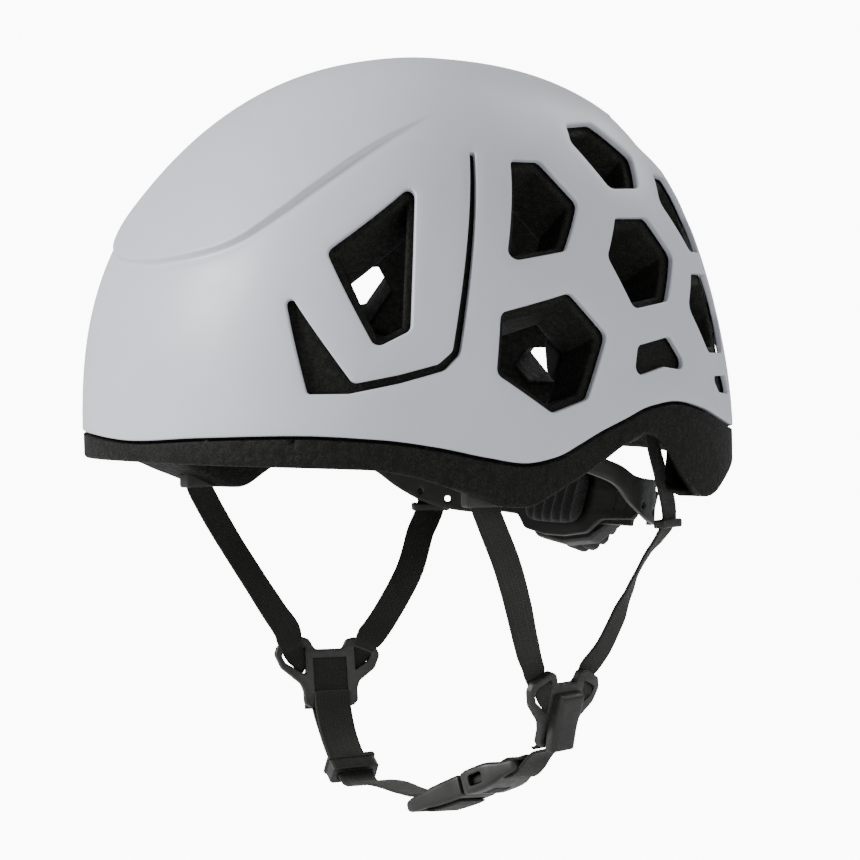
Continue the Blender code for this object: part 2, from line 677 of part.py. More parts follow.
# strap end at an ear, (up from the slot's centre, outwards): down the outer
# face, through the slot and back up inside
EAR_FOLD = [(9.0, 2.7), (0.0, 2.7), (-0.5, 1.4), (-0.5, -1.4), (0.0, -2.7), (14.0, -2.7)]
GUIDE_CENTRE = (77.25, 69.6, -152.8)
GUIDE_U, GUIDE_V = (-0.38, 0.92, 0.0), (0.924, 0.382, 0.05)


def side_strap(name, route, ear, sign):
    """Strap from its anchor to a fold round the bar above an ear's slot."""
    (x, y), slope = ear
    c, s = math.cos(slope), math.sin(slope)
    fold = [divider_point(x - s * up, y + c * up, out, sign) for up, out in EAR_FOLD]
    across = mirror(DIVIDER_ALONG * c + DIVIDER_UP * s, sign)
    stations = [(mirror(p, sign), mirror(direction, sign)) for p, direction in route]
    ribbon(name, "webbing", stations + run(fold, across), SIDE_STRAP_WIDTH, WEBBING)


def build_side_straps(sign, side):
    side_strap("front_strap_" + side, FRONT_ROUTE, FRONT_EAR, sign)
    side_strap("rear_strap_" + side, REAR_ROUTE, REAR_EAR, sign)
    plate("strap_guide_" + side, "plastic", rounded(8.9, 3.4, 1.2, 2),
          [rounded(7.3, 1.8, 0.5, 1)], 3.6, mirror(GUIDE_CENTRE, sign),
          mirror(GUIDE_U, sign), mirror(GUIDE_V, sign))


# ================================================================ buckle
BUCKLE_CENTRE = Vector((36.75, 4.9, -255.6))
# along from the plug to the socket's end, across the webbing, outwards and down
BUCKLE_ALONG = Vector((0.898, 0.219, 0.383)).normalized()
BUCKLE_ACROSS = square_to(Vector((0, 1, 0)), BUCKLE_ALONG)
BUCKLE_OUT = BUCKLE_ACROSS.cross(BUCKLE_ALONG)

SOCKET_OUTLINE = [(2, -11), (4, -12), (15, -12), (20, -10.5), (28, -10.5), (28, 10.5),
                  (20, 10.5), (15, 12), (4, 12), (2, 11)]
SOCKET_SLOT = rectangle(20.4, 24.0, -8.6, 8.6)
SOCKET_THICK = 9.0
# name, then limits along, across and outwards
SOCKET_CUTS = [
    ("socket_mouth", (-2, 15.5), (-9.9, 9.9), (-2.7, 2.7)),
    ("socket_thumb_window", (6.0, 13.4), (-16, 16), (-2.4, 2.4)),
    ("socket_tail_top", (17.0, 32), (-16, 16), (1.9, 9)),
    ("socket_tail_low", (17.0, 32), (-16, 16), (-9, -1.9)),
]
PLUG_OUTLINE = [
    (-28, -10), (-26.5, -11), (0, -11), (1, -9.2), (12.6, -9.2), (13.4, -7.2),
    (13.4, -6.2), (4.5, -6.4), (3.0, -3.0), (14.0, -2.6), (14.6, 0), (14.0, 2.6),
    (3.0, 3.0), (4.5, 6.4), (13.4, 6.2), (13.4, 7.2), (12.6, 9.2), (1, 9.2),
    (0, 11), (-26.5, 11), (-28, 10)]
PLUG_SLOT = rectangle(-24.2, -20.6, -8.6, 8.6)
PLUG_THICK = 4.2


def buckle_point(along, across, out):
    return BUCKLE_CENTRE + BUCKLE_ALONG * along + BUCKLE_ACROSS * across + BUCKLE_OUT * out


def build_buckle():
    socket = plate("buckle_socket", "plastic", SOCKET_OUTLINE, [SOCKET_SLOT], SOCKET_THICK,
                   BUCKLE_CENTRE, BUCKLE_ALONG, BUCKLE_ACROSS)
    for name, *limits in SOCKET_CUTS:
        size = [high - low for low, high in limits]
        middle = [(low + high) / 2 for low, high in limits]
        subtract(socket, box(name, None, size, buckle_point(*middle),
                             BUCKLE_ALONG, BUCKLE_ACROSS))
    plate("buckle_plug", "plastic", PLUG_OUTLINE, [PLUG_SLOT], PLUG_THICK,
          BUCKLE_CENTRE, BUCKLE_ALONG, BUCKLE_ACROSS)


# ================================================================ chin strap
# fold over the divider's low bar, outer run first: (up from the bar, outwards)
BAR_FOLD = [(-3.4, 2.9), (3.0, 2.9), (3.9, 1.6), (3.9, -1.6), (3.0, -2.9), (-3.4, -2.9)]
# fold round the socket's bar: (along the buckle, outwards)
SOCKET_FOLD = [(30.0, 3.0), (23.2, 3.0), (22.2, 2.2), (22.2, -2.2), (23.2, -3.0), (31.0, -3.0)]

ADJUSTER_TOP = Vector((-60.0, 10.8, -254.4))
ADJUSTER_LOW = Vector((-45.5, 8.0, -265.2))
RUN_OFFSET = 1.1          # each run of webbing from the adjuster's middle
# adjuster's axes: down the strap, across it, outwards and down
ADJUSTER_DOWN = (ADJUSTER_LOW - ADJUSTER_TOP).normalized()
ADJUSTER_ACROSS = square_to(Vector(mirror(DIVIDER_ALONG, -1)), ADJUSTER_DOWN)
ADJUSTER_OUT = ADJUSTER_ACROSS.cross(ADJUSTER_DOWN)


def bar_fold(sign):
    return [divider_point(0, LOW_BAR + up, out, sign) for up, out in BAR_FOLD]


def build_left_chin_strap():
    """Tail inside, over the divider's bar, then down outside to the socket's bar."""
    divider_run = [divider_point(0, LOW_BAR - 10.0, -0.9, 1)] + bar_fold(1)[::-1]
    socket_run = [Vector((72.0, 13.2, -242.0)) + DIVIDER_OUT * 0.8]
    socket_run += [buckle_point(along, 0, out) for along, out in SOCKET_FOLD]
    ribbon("chin_strap_left", "webbing",
           run(divider_run, DIVIDER_ALONG) + run(socket_run, BUCKLE_ACROSS),
           CHIN_STRAP_WIDTH, WEBBING)


def build_right_chin_strap():
    """Tail outside, over the divider's bar, then down inside and on under the chin."""
    offset = ADJUSTER_OUT * RUN_OFFSET
    tail = [ADJUSTER_LOW - ADJUSTER_DOWN + offset, ADJUSTER_TOP + offset]
    divider_run = [Vector((-67.2, 12.3, -246.6)) + ADJUSTER_OUT * 1.4]
    divider_run += bar_fold(-1)
    divider_run += [Vector((-66.6, 12.3, -247.6)) - ADJUSTER_OUT * 1.3]
    inner_run = [ADJUSTER_TOP - offset + ADJUSTER_DOWN, ADJUSTER_LOW - offset]
    under_chin = [((-35.0, 6.0, -268.8), (0.22, 0.97, 0)),
                  ((-21.0, 3.2, -269.8), (0.18, 0.98, 0)),
                  ((-6.0, 0.0, -268.6), (0.15, 0.98, 0))]
    ribbon("chin_strap_right", "webbing",
           run(tail, ADJUSTER_ACROSS) + run(divider_run, mirror(DIVIDER_ALONG, -1))
           + run(inner_run, ADJUSTER_ACROSS) + under_chin,
           CHIN_STRAP_WIDTH, WEBBING)


def build_strap_adjuster():
    """Loop round both runs of the right chin strap."""
    middle = (ADJUSTER_TOP + ADJUSTER_LOW) / 2 + ADJUSTER_DOWN * 0.5
    plate("strap_adjuster", "plastic", rounded(10.2, 4.3, 1.4, 2),
          [rounded(8.5, 2.4, 0.5, 1)], 8.0, middle, ADJUSTER_ACROSS, ADJUSTER_OUT)


# ================================================================ build
build_shell()
foam_liner = build_liner()
build_anchors(foam_liner)
cut_strap_reliefs(foam_liner)
for wall_pad in WALL_PADS:
    build_wall_pad(*wall_pad)
build_crown_pad()
for x_sign, side_name in SIDES:
    build_arm(x_sign, side_name)
build_rear_adjuster()
for x_sign, side_name in SIDES:
    build_divider(x_sign, side_name)
    build_side_straps(x_sign, side_name)
build_buckle()
build_left_chin_strap()
build_right_chin_strap()
build_strap_adjuster()
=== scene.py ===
import json
import math
import bpy
import bmesh
import numpy as np
from mathutils import Vector, Matrix
from mathutils.geometry import delaunay_2d_cdt

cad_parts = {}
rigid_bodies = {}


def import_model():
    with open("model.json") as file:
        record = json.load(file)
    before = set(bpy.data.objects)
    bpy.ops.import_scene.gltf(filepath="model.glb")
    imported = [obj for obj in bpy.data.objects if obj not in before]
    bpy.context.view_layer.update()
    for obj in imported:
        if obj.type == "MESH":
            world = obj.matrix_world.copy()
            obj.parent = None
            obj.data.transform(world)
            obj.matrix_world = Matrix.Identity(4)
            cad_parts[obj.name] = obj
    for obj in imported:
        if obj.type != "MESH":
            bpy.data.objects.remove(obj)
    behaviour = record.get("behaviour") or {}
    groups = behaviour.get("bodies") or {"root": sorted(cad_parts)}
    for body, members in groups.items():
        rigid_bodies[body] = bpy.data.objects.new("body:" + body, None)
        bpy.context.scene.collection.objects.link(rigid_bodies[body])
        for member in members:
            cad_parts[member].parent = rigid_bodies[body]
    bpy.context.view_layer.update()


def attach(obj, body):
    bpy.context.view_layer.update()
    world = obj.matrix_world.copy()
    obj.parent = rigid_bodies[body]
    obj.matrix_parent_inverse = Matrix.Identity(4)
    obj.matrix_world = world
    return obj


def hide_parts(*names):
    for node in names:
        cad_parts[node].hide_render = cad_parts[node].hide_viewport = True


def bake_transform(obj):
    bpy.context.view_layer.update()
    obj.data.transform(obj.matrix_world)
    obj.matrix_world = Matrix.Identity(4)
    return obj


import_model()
MM = 0.001
COLLECTION = bpy.context.scene.collection
SIDES = ((1, "left"), (-1, "right"))

# ------------------------------------------------------------------ dimensions of the dome
DOME_TOP, DOME_HEIGHT = 32.0, 159.5
DOME_BASE = DOME_TOP - DOME_HEIGHT
HALF_WIDTH, HALF_FRONT, HALF_REAR = 108.5, 133.5, 135.0
PLAN_POWER = 2.35                # superellipse seen from above
SIDE_POWER, FRONT_POWER, REAR_POWER = 2.38, 2.07, 2.53
SIDE_SWELL, FRONT_SWELL, REAR_SWELL = 0.004, 0.028, -0.041
FRONT_TAPER = 0.022
SHELL_WALL = 2.6
CAVITY_TOP, CAVITY_HALF_WIDTH, CAVITY_FRONT, CAVITY_REAR, CAVITY_POWER = 8.0, 86.0, 105.0, 111.0, 2.4
RIM_LENGTH = 760                 # nominal length round the rim
CHART_SCALE = 150.0 / (np.pi / 2)
VENT_SPACING, LINER_VENT_SPACING, CLIP_SPACING = 1.25, 1.8, 1.0

# (azimuth, height) of the lower edges, the same on both sides
SHELL_RIM = [
    (0, -118.2), (18, -116.3), (35, -115.2), (48, -116.6), (58, -119.5), (68, -123.6),
    (76, -125.8), (83, -123.8), (89, -119.2), (94, -115), (101, -110.2), (108, -105.6),
    (116, -103.8), (126, -106.8), (133, -110.6), (142, -114), (160, -116), (180, -116.5)]
LINER_RIM = [
    (0, -126.2), (20, -126.4), (46, -127.6), (54, -130.4), (60, -134.2), (66.8, -138.4),
    (69.2, -140.2), (71.5, -141.9), (76.5, -142.2), (79, -141), (82.5, -137.8), (88.8, -132.2),
    (95.8, -125.5), (100.2, -120.6), (103.8, -117.4), (107, -115.4), (109, -115.6), (111, -118),
    (112.5, -120.8), (114.5, -125.2), (116.8, -130), (120.5, -136), (124.8, -140.8),
    (128, -141.8), (131.5, -140.6), (136, -136.4), (144, -131), (160, -127), (180, -125)]

# (azimuth, height) of the crown panel's lower edge
CREASE = [(0, -51.0), (8, -50.0), (16, -47.5), (21, -44.0), (26, -37.0), (36, -20.5),
          (43, -10.5), (50, -3.2), (62, 4.5)]

# Vents on the wearer's left, mirrored to the right: corners (azimuth, height), corner radius,
# and how far the liner's opening is drawn in, or None where the liner has no opening
SIDE_VENTS = {
    "kite": ([(54.4, -21.5), (38.0, -48.0), (47.2, -83.6), (53.4, -77.0)], 3.2, 3.0),
    "temple_low": ([(71.0, -70.5), (88.6, -62.8), (97.2, -78.5), (91.0, -102.6), (82.0, -107.6),
                    (69.6, -93.0)], 3.6, 3.0),
    "temple_high": ([(79.4, -12.6), (88.8, -12.4), (96.6, -28.6), (89.0, -47.2),
                     (73.2, -51.8)], 3.6, 3.0),
    "upper": ([(106.6, 2.6), (120.0, 4.6), (126.6, -8.0), (120.0, -21.4), (109.0, -22.4),
               (103.6, -4.6)], 3.6, 3.0),
    "middle": ([(106.8, -33.6), (118.4, -32.8), (123.6, -47.4), (117.0, -65.4), (105.8, -68.6),
                (100.8, -49.0)], 3.6, 3.0),
    "lower": ([(105.6, -82.6), (115.8, -79.0), (121.4, -92.4), (113.0, -90.6),
               (103.8, -94.6)], 3.0, None),
    "rear_high": ([(127.0, -26.5), (132.4, -14.6), (143.0, -15.4), (148.4, -30.0),
                   (142.0, -45.4), (133.0, -45.2)], 4.5, 3.2),
    "rear_low": ([(124.6, -67.6), (129.8, -54.0), (141.6, -54.0), (146.4, -69.0),
                  (141.0, -85.4), (130.4, -85.2)], 4.5, 3.2),
    "rear_top": ([(136.4, -3.6), (139.6, 9.0), (151.6, 10.4), (158.0, 0.4), (153.4, -11.2),
                  (143.4, -11.6)], 4.5, 3.2),
    "nape_mid": ([(149.8, -49.0), (154.6, -34.2), (165.4, -34.0), (170.4, -49.0),
                  (165.2, -64.4), (154.6, -64.2)], 4.5, 3.2),
    "nape_low": ([(150.4, -84.0), (155.0, -73.0), (165.2, -73.0), (169.2, -84.0),
                  (165.0, -96.4), (154.6, -96.2)], 4.0, 3.2),
    "edge": ([(130.6, -94.4), (140.6, -94.4), (143.6, -102.2), (133.8, -100.8)], 2.2, None),
}
CENTRE_VENTS = {
    "rear_mid_high": ([(169.6, -20.0), (174.6, -33.2), (185.4, -33.2), (190.4, -20.0),
                       (185.4, -6.8), (174.6, -6.8)], 4.5, 3.2),
    "rear_mid_low": ([(173.2, -70.0), (176.8, -56.8), (183.2, -56.8), (186.8, -70.0),
                      (183.4, -85.2), (176.6, -85.2)], 3.5, 3.2),
}
# J-shaped clip slot, in the shell only: a tall triangle in front of a tongue and a narrow
# channel under and behind it
CLIP_CORNERS = [(31.0, -59.4), (36.2, -100.2), (43.0, -100.0), (51.5, -96.2), (59.4, -91.6),
                (62.4, -85.6), (66.0, -47.5), (69.5, -10.6), (68.1, -10.4), (64.5, -47.3),
                (60.9, -84.8), (58.2, -89.4), (51.2, -93.2), (43.6, -96.4)]
CLIP_RADII = [1.6, 1.6, 3.0, 6.0, 5.0, 5.0, 8.0, 0.9, 0.9, 8.0, 3.2, 3.2, 6.0, 2.6]


# ------------------------------------------------------------------ vectors and curves
def vec(*p):
    return np.array(p, float)


def unit(v):
    v = np.asarray(v, float)
    return v / np.linalg.norm(v)


def unit_rows(v):
    return v / np.linalg.norm(v, axis=1, keepdims=True)


def mirror(p, sign):
    """Mirror a point or a direction to the wearer's right for sign = -1."""
    return vec(p[0] * sign, p[1], p[2])


def travelled(points):
    """Distance along a polyline at each of its points."""
    return np.concatenate([[0], np.cumsum(np.linalg.norm(np.diff(points, axis=0), axis=1))])


def resample(at, travel, values):
    return np.stack([np.interp(at, travel, values[:, i]) for i in range(3)], -1)


def square_to(across, tangent):
    """Rows of across made perpendicular to the tangents."""
    return unit_rows(across - tangent * np.sum(across * tangent, axis=1, keepdims=True))


def ease(x, start, end):
    t = np.clip((x - start) / (end - start), 0, 1)
    return t * t * (3 - 2 * t)


def signed(az):
    """Azimuth in -180..180."""
    return (np.asarray(az, float) + 180.0) % 360.0 - 180.0


def lookup(table, az):
    """Monotone cubic through the stations of an (azimuth, height) table."""
    a = np.abs(signed(az))
    xs = np.array([t[0] for t in table], float)
    ys = np.array([t[1] for t in table], float)
    h = np.diff(xs)
    slope = np.diff(ys) / h
    m = np.zeros(len(xs))
    for i in range(1, len(xs) - 1):
        if slope[i - 1] * slope[i] > 0:
            m[i] = 2 * slope[i - 1] * slope[i] / (slope[i - 1] + slope[i])
    i = np.clip(np.searchsorted(xs, a, side="right") - 1, 0, len(xs) - 2)
    t = (a - xs[i]) / h[i]
    return ((2 * t**3 - 3 * t**2 + 1) * ys[i] + (t**3 - 2 * t**2 + t) * h[i] * m[i]
            + (-2 * t**3 + 3 * t**2) * ys[i + 1] + (t**3 - t**2) * h[i] * m[i + 1])


def nearest(points, targets):
    """Distance to, and index of, each point's nearest target, in blocks to save memory."""
    best = np.full(len(points), 1e9)
    index = np.zeros(len(points), int)
    for start in range(0, len(targets), 64):
        block = targets[None, start:start + 64]
        distance = np.linalg.norm(points[:, None, :] - block, axis=-1)
        j = distance.argmin(1)
        value = distance[np.arange(len(points)), j]
        closer = value < best
        best[closer] = value[closer]
        index[closer] = start + j[closer]
    return best, index


# ------------------------------------------------------------------ polygons
def signed_area(p):
    return 0.5 * np.sum(p[:, 0] * np.roll(p[:, 1], -1) - np.roll(p[:, 0], -1) * p[:, 1])


def in_polygon(points, polygon):
    x, y = points[:, 0], points[:, 1]
    inside = np.zeros(len(points), bool)
    x0, y0 = polygon[:, 0], polygon[:, 1]
    x1, y1 = np.roll(x0, -1), np.roll(y0, -1)
    boxed = (x > x0.min()) & (x < x0.max()) & (y > y0.min()) & (y < y0.max())
    which = np.nonzero(boxed)[0]
    if len(which):
        px, py = x[which][:, None], y[which][:, None]
        crossed = ((y0 > py) != (y1 > py)) & (px < (x1 - x0) * (py - y0) / (y1 - y0 + 1e-30) + x0)
        inside[which] = crossed.sum(1) % 2 == 1
    return inside


def in_region(points, outline, holes):
    inside = in_polygon(points, outline)
    for hole in holes:
        inside &= ~in_polygon(points, hole)
    return inside


def near_polygon(points, polygon, distance):
    return nearest(points, polygon)[0] < distance


def round_corner(before, corner, after, radius):
    """(arc start, arc end, centre, radius, start angle, end angle, outward sign)."""
    u, v = before - corner, after - corner
    len_u, len_v = np.linalg.norm(u), np.linalg.norm(v)
    u, v = u / len_u, v / len_v
    angle = math.acos(max(-1, min(1, float(u @ v))))
    if angle > math.pi - 0.03:           # straight on: nothing to round
        return corner, corner, None, 0, 0, 0, 1
    cut = min(radius / math.tan(angle / 2), 0.46 * len_u, 0.46 * len_v)
    r = cut * math.tan(angle / 2)
    a, b = corner + u * cut, corner + v * cut
    centre = corner + (u + v) / np.linalg.norm(u + v) * math.hypot(r, cut)
    t0 = math.atan2(*(a - centre)[::-1])
    t1 = math.atan2(*(b - centre)[::-1])
    if u[0] * v[1] - u[1] * v[0] < 0:
        while t1 < t0:
            t1 += 2 * math.pi
        return a, b, centre, r, t0, t1, 1
    while t1 > t0:
        t1 -= 2 * math.pi
    return a, b, centre, r, t0, t1, -1


def rounded_loop(corners, radii, spacing):
    """Counter-clockwise polygon with rounded corners: points and outward normals."""
    c = np.array(corners, float)
    n = len(c)
    radii = np.broadcast_to(radii, n)
    if signed_area(c) < 0:
        c, radii = c[::-1], radii[::-1]
    arcs = [round_corner(c[i - 1], c[i], c[(i + 1) % n], radii[i]) for i in range(n)]
    points, normals = [], []
    for i, (a, b, centre, r, t0, t1, outward) in enumerate(arcs):
        following = arcs[(i + 1) % n][0]
        if centre is not None:
            turn = abs(t1 - t0)
            steps = max(3, int(math.ceil(turn * max(r, 0.8) / spacing)), int(turn / 0.30))
            for j in range(steps + 1):
                t = t0 + (t1 - t0) * j / steps
                d = vec(math.cos(t), math.sin(t))
                points.append(centre + d * r)
                normals.append(d * outward)
        else:
            points.append(a)
            e = following - a
            normals.append(vec(e[1], -e[0]) / np.linalg.norm(e))
        e = following - b
        length = np.linalg.norm(e)
        if length > 1e-6:
            steps = int(length / spacing)
            for j in range(1, steps):
                points.append(b + e * j / steps)
                normals.append(vec(e[1], -e[0]) / length)
    return np.array(points), np.array(normals)


def corner_loop(corners, radii, ccw=True):
    """Rounded outline for a plate, without points that nearly coincide."""
    loop, _ = rounded_loop(corners, radii, 0.9)
    kept = [loop[0]]
    for p in loop[1:]:
        if np.linalg.norm(p - kept[-1]) > 0.12:
            kept.append(p)
    if np.linalg.norm(kept[0] - kept[-1]) < 0.12:
        kept.pop()
    loop = np.array(kept)
    return loop if (signed_area(loop) > 0) == ccw else loop[::-1]


def hole_loop(corners, radii):
    return corner_loop(corners, radii, ccw=False)


def rectangle(x0, y0, x1, y1):
    return [(x0, y0), (x1, y0), (x1, y1), (x0, y1)]


def circle(x, y, radius, count):
    return np.array([(x + radius * math.cos(t), y + radius * math.sin(t))
                     for t in np.linspace(0, 2 * math.pi, count + 1)[:-1]])


# ------------------------------------------------------------------ meshes
def to_object(name, mesh, sharp=38):
    mesh.shade_smooth()
    if sharp:
        mesh.set_sharp_from_angle(angle=math.radians(sharp))
    ob = bpy.data.objects.new(name, mesh)
    COLLECTION.objects.link(ob)
    return ob


def from_faces(name, verts, faces, sharp=38, attributes=None):
    mesh = bpy.data.meshes.new(name)
    mesh.from_pydata([tuple(p) for p in (np.asarray(verts) * MM).tolist()], [], faces)
    mesh.update()
    for key, values in (attributes or {}).items():
        layer = mesh.attributes.new(key, 'FLOAT', 'POINT')
        layer.data.foreach_set("value", np.asarray(values, dtype=np.float32))
    bm = bmesh.new()
    bm.from_mesh(mesh)
    bmesh.ops.recalc_face_normals(bm, faces=bm.faces)
    bm.to_mesh(mesh)
    bm.free()
    return to_object(name, mesh, sharp)


def band(first, second):
    """Quads that join two closed rings of vertex numbers."""
    n = len(first)
    return [(first[k], first[(k + 1) % n], second[(k + 1) % n], second[k]) for k in range(n)]


def frame_matrix(origin, u, v):
    x = unit(u)
    z = unit(np.cross(x, v))
    y = np.cross(z, x)
    m = Matrix.Identity(4)
    for r in range(3):
        m[r][0], m[r][1], m[r][2], m[r][3] = x[r], y[r], z[r], origin[r] * MM
    return m


def plate(name, outline, holes, thick, origin, u, v, bevel, seg=3):
    """Flat plate with rounded edges. Outline and holes are loops in its u, v plane."""
    curve = bpy.data.curves.new("plate", 'CURVE')
    curve.dimensions = '2D'
    curve.fill_mode = 'BOTH'
    curve.extrude = (thick * 0.5 - bevel) * MM
    curve.bevel_depth = bevel * MM
    curve.bevel_resolution = seg
    curve.offset = -bevel * MM
    for loop in [outline] + list(holes):
        spline = curve.splines.new('POLY')
        spline.points.add(len(loop) - 1)
        for point, (x, y) in zip(spline.points, loop):
            point.co = (x * MM, y * MM, 0.0, 1.0)
        spline.use_cyclic_u = True
    temporary = bpy.data.objects.new("plate", curve)
    COLLECTION.objects.link(temporary)
    mesh = evaluated_mesh(temporary)
    bpy.data.objects.remove(temporary, do_unlink=True)
    bm = bmesh.new()
    bm.from_mesh(mesh)
    bmesh.ops.remove_doubles(bm, verts=bm.verts, dist=0.00001)
    bmesh.ops.recalc_face_normals(bm, faces=bm.faces)
    bm.transform(frame_matrix(origin, u, v))
    bm.to_mesh(mesh)
    bm.free()
    mesh.materials.clear()
    return to_object(name, mesh)


def box(name, size, origin, u, v, bevel, seg=3):
    bm = bmesh.new()
    bmesh.ops.create_cube(bm, size=1.0)
    bmesh.ops.scale(bm, vec=Vector(size) * MM, verts=bm.verts)
    bmesh.ops.bevel(bm, geom=bm.edges[:] + bm.verts[:], offset=bevel * MM, segments=seg,
                    profile=0.5, affect='EDGES', clamp_overlap=True)
    bm.transform(frame_matrix(origin, u, v))
    mesh = bpy.data.meshes.new("box")
    bm.to_mesh(mesh)
    bm.free()
    return to_object(name, mesh)


def evaluated_mesh(ob):
    bpy.context.view_layer.update()
    graph = bpy.context.evaluated_depsgraph_get()
    return bpy.data.meshes.new_from_object(ob.evaluated_get(graph))


def combine(target, others, operation='UNION'):
    """Join closed pieces into one solid, or cut the others away with DIFFERENCE."""
    for other in others:
        modifier = target.modifiers.new("b", 'BOOLEAN')
        modifier.operation = operation
        modifier.solver = 'EXACT'
        modifier.object = other
        mesh = evaluated_mesh(target)
        target.modifiers.clear()
        target.data = mesh
        bpy.data.objects.remove(other, do_unlink=True)
    mesh = target.data
    bm = bmesh.new()
    bm.from_mesh(mesh)
    bmesh.ops.remove_doubles(bm, verts=bm.verts, dist=0.000004)
    bmesh.ops.dissolve_degenerate(bm, edges=bm.edges, dist=0.000004)
    bmesh.ops.recalc_face_normals(bm, faces=bm.faces)
    bm.to_mesh(mesh)
    bm.free()
    mesh.materials.clear()
    mesh.shade_smooth()
    mesh.set_sharp_from_angle(angle=math.radians(38))


def fuse(target, other):
    """Carry a second closed shell in the same object, overlapping the first."""
    bm = bmesh.new()
    bm.from_mesh(target.data)
    bm.from_mesh(other.data)
    bm.to_mesh(target.data)
    bm.free()
    bpy.data.objects.remove(other, do_unlink=True)
    target.data.shade_smooth()
    target.data.set_sharp_from_angle(angle=math.radians(38))


def lathe(name, profile, origin, axis, ref, steps, radius=None, sharp=38):
    """Turned solid. profile is (radius, height) from the top centre to the bottom centre;
    radius(angle, r) may vary the radius round the turn."""
    axis = unit(axis)
    e1 = unit(np.cross(ref, axis))
    e2 = np.cross(axis, e1)
    verts, rings, faces = [], [], []
    for r, h in profile:
        start = len(verts)
        if r < 1e-6:
            verts.append(np.asarray(origin) + axis * h)
        else:
            for k in range(steps):
                t = 2 * math.pi * k / steps
                rr = radius(t, r) if radius else r
                spoke = (e1 * math.cos(t) + e2 * math.sin(t)) * rr
                verts.append(np.asarray(origin) + axis * h + spoke)
        rings.append(list(range(start, len(verts))))
    for a, b in zip(rings, rings[1:]):
        if len(a) == 1:
            faces += [(a[0], b[(k + 1) % steps], b[k]) for k in range(steps)]
        elif len(b) == 1:
            faces += [(a[k], a[(k + 1) % steps], b[0]) for k in range(steps)]
        else:
            faces += band(a, b)
    return from_faces(name, verts, faces, sharp)


def loft(name, sections):
    """Closed skin through rings of equal count."""
    n, m = len(sections), len(sections[0])
    rings = [range(i * m, (i + 1) * m) for i in range(n)]
    faces = []
    for a, b in zip(rings, rings[1:]):
        faces += band(a, b)
    faces.append(tuple(rings[0])[::-1])
    faces.append(tuple(rings[-1]))
    return from_faces(name, np.concatenate(sections), faces, 40)


# ------------------------------------------------------------------ registering pieces
PIECES = []                      # (object, material slot)


def register(ob, slot, replaced):
    if replaced:
        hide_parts(*replaced)
    PIECES.append((ob, slot))


def keep(ob, body, slot, *replaced):
    """The piece moves with one body."""
    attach(ob, body)
    register(ob, slot, replaced)


def keep_blend(ob, body_a, body_b, start, end, slot, *replaced):
    """Bakes the piece's placement into its mesh and registers it, without attaching it to a body."""
    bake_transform(ob)
    register(ob, slot, replaced)


# ------------------------------------------------------------------ dome surface
def profile(u, power, swell, taper=0.0):
    """Share of the half size at height fraction u."""
    u = np.clip(u, 0.0, 1.0)
    return (1 - u**power) ** (1 / power) * (1 + swell * np.sin(np.pi * u) ** 2
                                            - taper * (1 - u) ** 3)


def plan_norm(x, y, half_x, half_y):
    return ((abs(x) / half_x) ** PLAN_POWER + (abs(y) / half_y) ** PLAN_POWER) ** (1 / PLAN_POWER)


def phi_of(z):
    z = np.asarray(z, float)
    return np.where(z >= DOME_BASE, np.arccos(np.clip((z - DOME_BASE) / DOME_HEIGHT, -1, 1)),
                    np.pi / 2 + (DOME_BASE - z) / DOME_HEIGHT)


def z_of(phi):
    return np.where(phi <= np.pi / 2, DOME_BASE + DOME_HEIGHT * np.cos(phi),
                    DOME_BASE - DOME_HEIGHT * (phi - np.pi / 2))


def dome(az, phi):
    """Shell's outer form at an azimuth and polar angle phi (0 at the pole, pi/2 at the base)."""
    az, phi = np.broadcast_arrays(np.asarray(az, float), np.asarray(phi, float))
    t = np.radians(az)
    u = np.where(phi <= np.pi / 2, np.cos(phi), 0.0)
    dx, dy = np.sin(t), -np.cos(t)
    half_x = np.maximum(HALF_WIDTH * profile(u, SIDE_POWER, SIDE_SWELL), 1e-6)
    half_y = np.maximum(np.where(dy < 0, HALF_FRONT * profile(u, FRONT_POWER, FRONT_SWELL,
                                                              FRONT_TAPER),
                                 HALF_REAR * profile(u, REAR_POWER, REAR_SWELL)), 1e-6)
    r = 1.0 / plan_norm(dx, dy, half_x, half_y)
    return np.stack([r * dx, r * dy, z_of(phi)], -1)


def dome_normal(az, phi):
    """Outward normal, eased to straight up at the pole."""
    p = np.maximum(phi, 0.02)
    e = 0.004
    along_az = dome(az + 0.25, p) - dome(az - 0.25, p)
    along_phi = dome(az, p + e) - dome(az, p - e)
    n = np.cross(along_phi, along_az)
    n /= np.linalg.norm(n, axis=-1, keepdims=True)
    outward = dome(az, p) - vec(0, 0, -60.0)
    n = np.where((n * outward).sum(-1, keepdims=True) < 0, -n, n)
    w = np.clip((0.05 - phi) / 0.03, 0, 1)[..., None]
    n = n * (1 - w) + vec(0, 0, 1.0) * w
    return n / np.linalg.norm(n, axis=-1, keepdims=True)


def to_chart(az, phi):
    """Flat polar map of the dome, in which the sheets are triangulated."""
    t = np.radians(az)
    return np.stack([CHART_SCALE * phi * np.sin(t), -CHART_SCALE * phi * np.cos(t)], -1)


def crease_line():
    """The crease table sampled finely, with its corners eased."""
    end = float(CREASE[-1][0])
    az = np.linspace(-end, end, 521)
    kernel = np.ones(15) / 15
    return az, np.convolve(np.pad(lookup(CREASE, az), 7, mode="edge"), kernel, mode="valid")


CREASE_AZ, CREASE_Z = crease_line()
CREASE_POINTS = dome(CREASE_AZ, phi_of(CREASE_Z))
CREASE_FADE = 1 - ease(np.abs(CREASE_AZ), 34, 62)


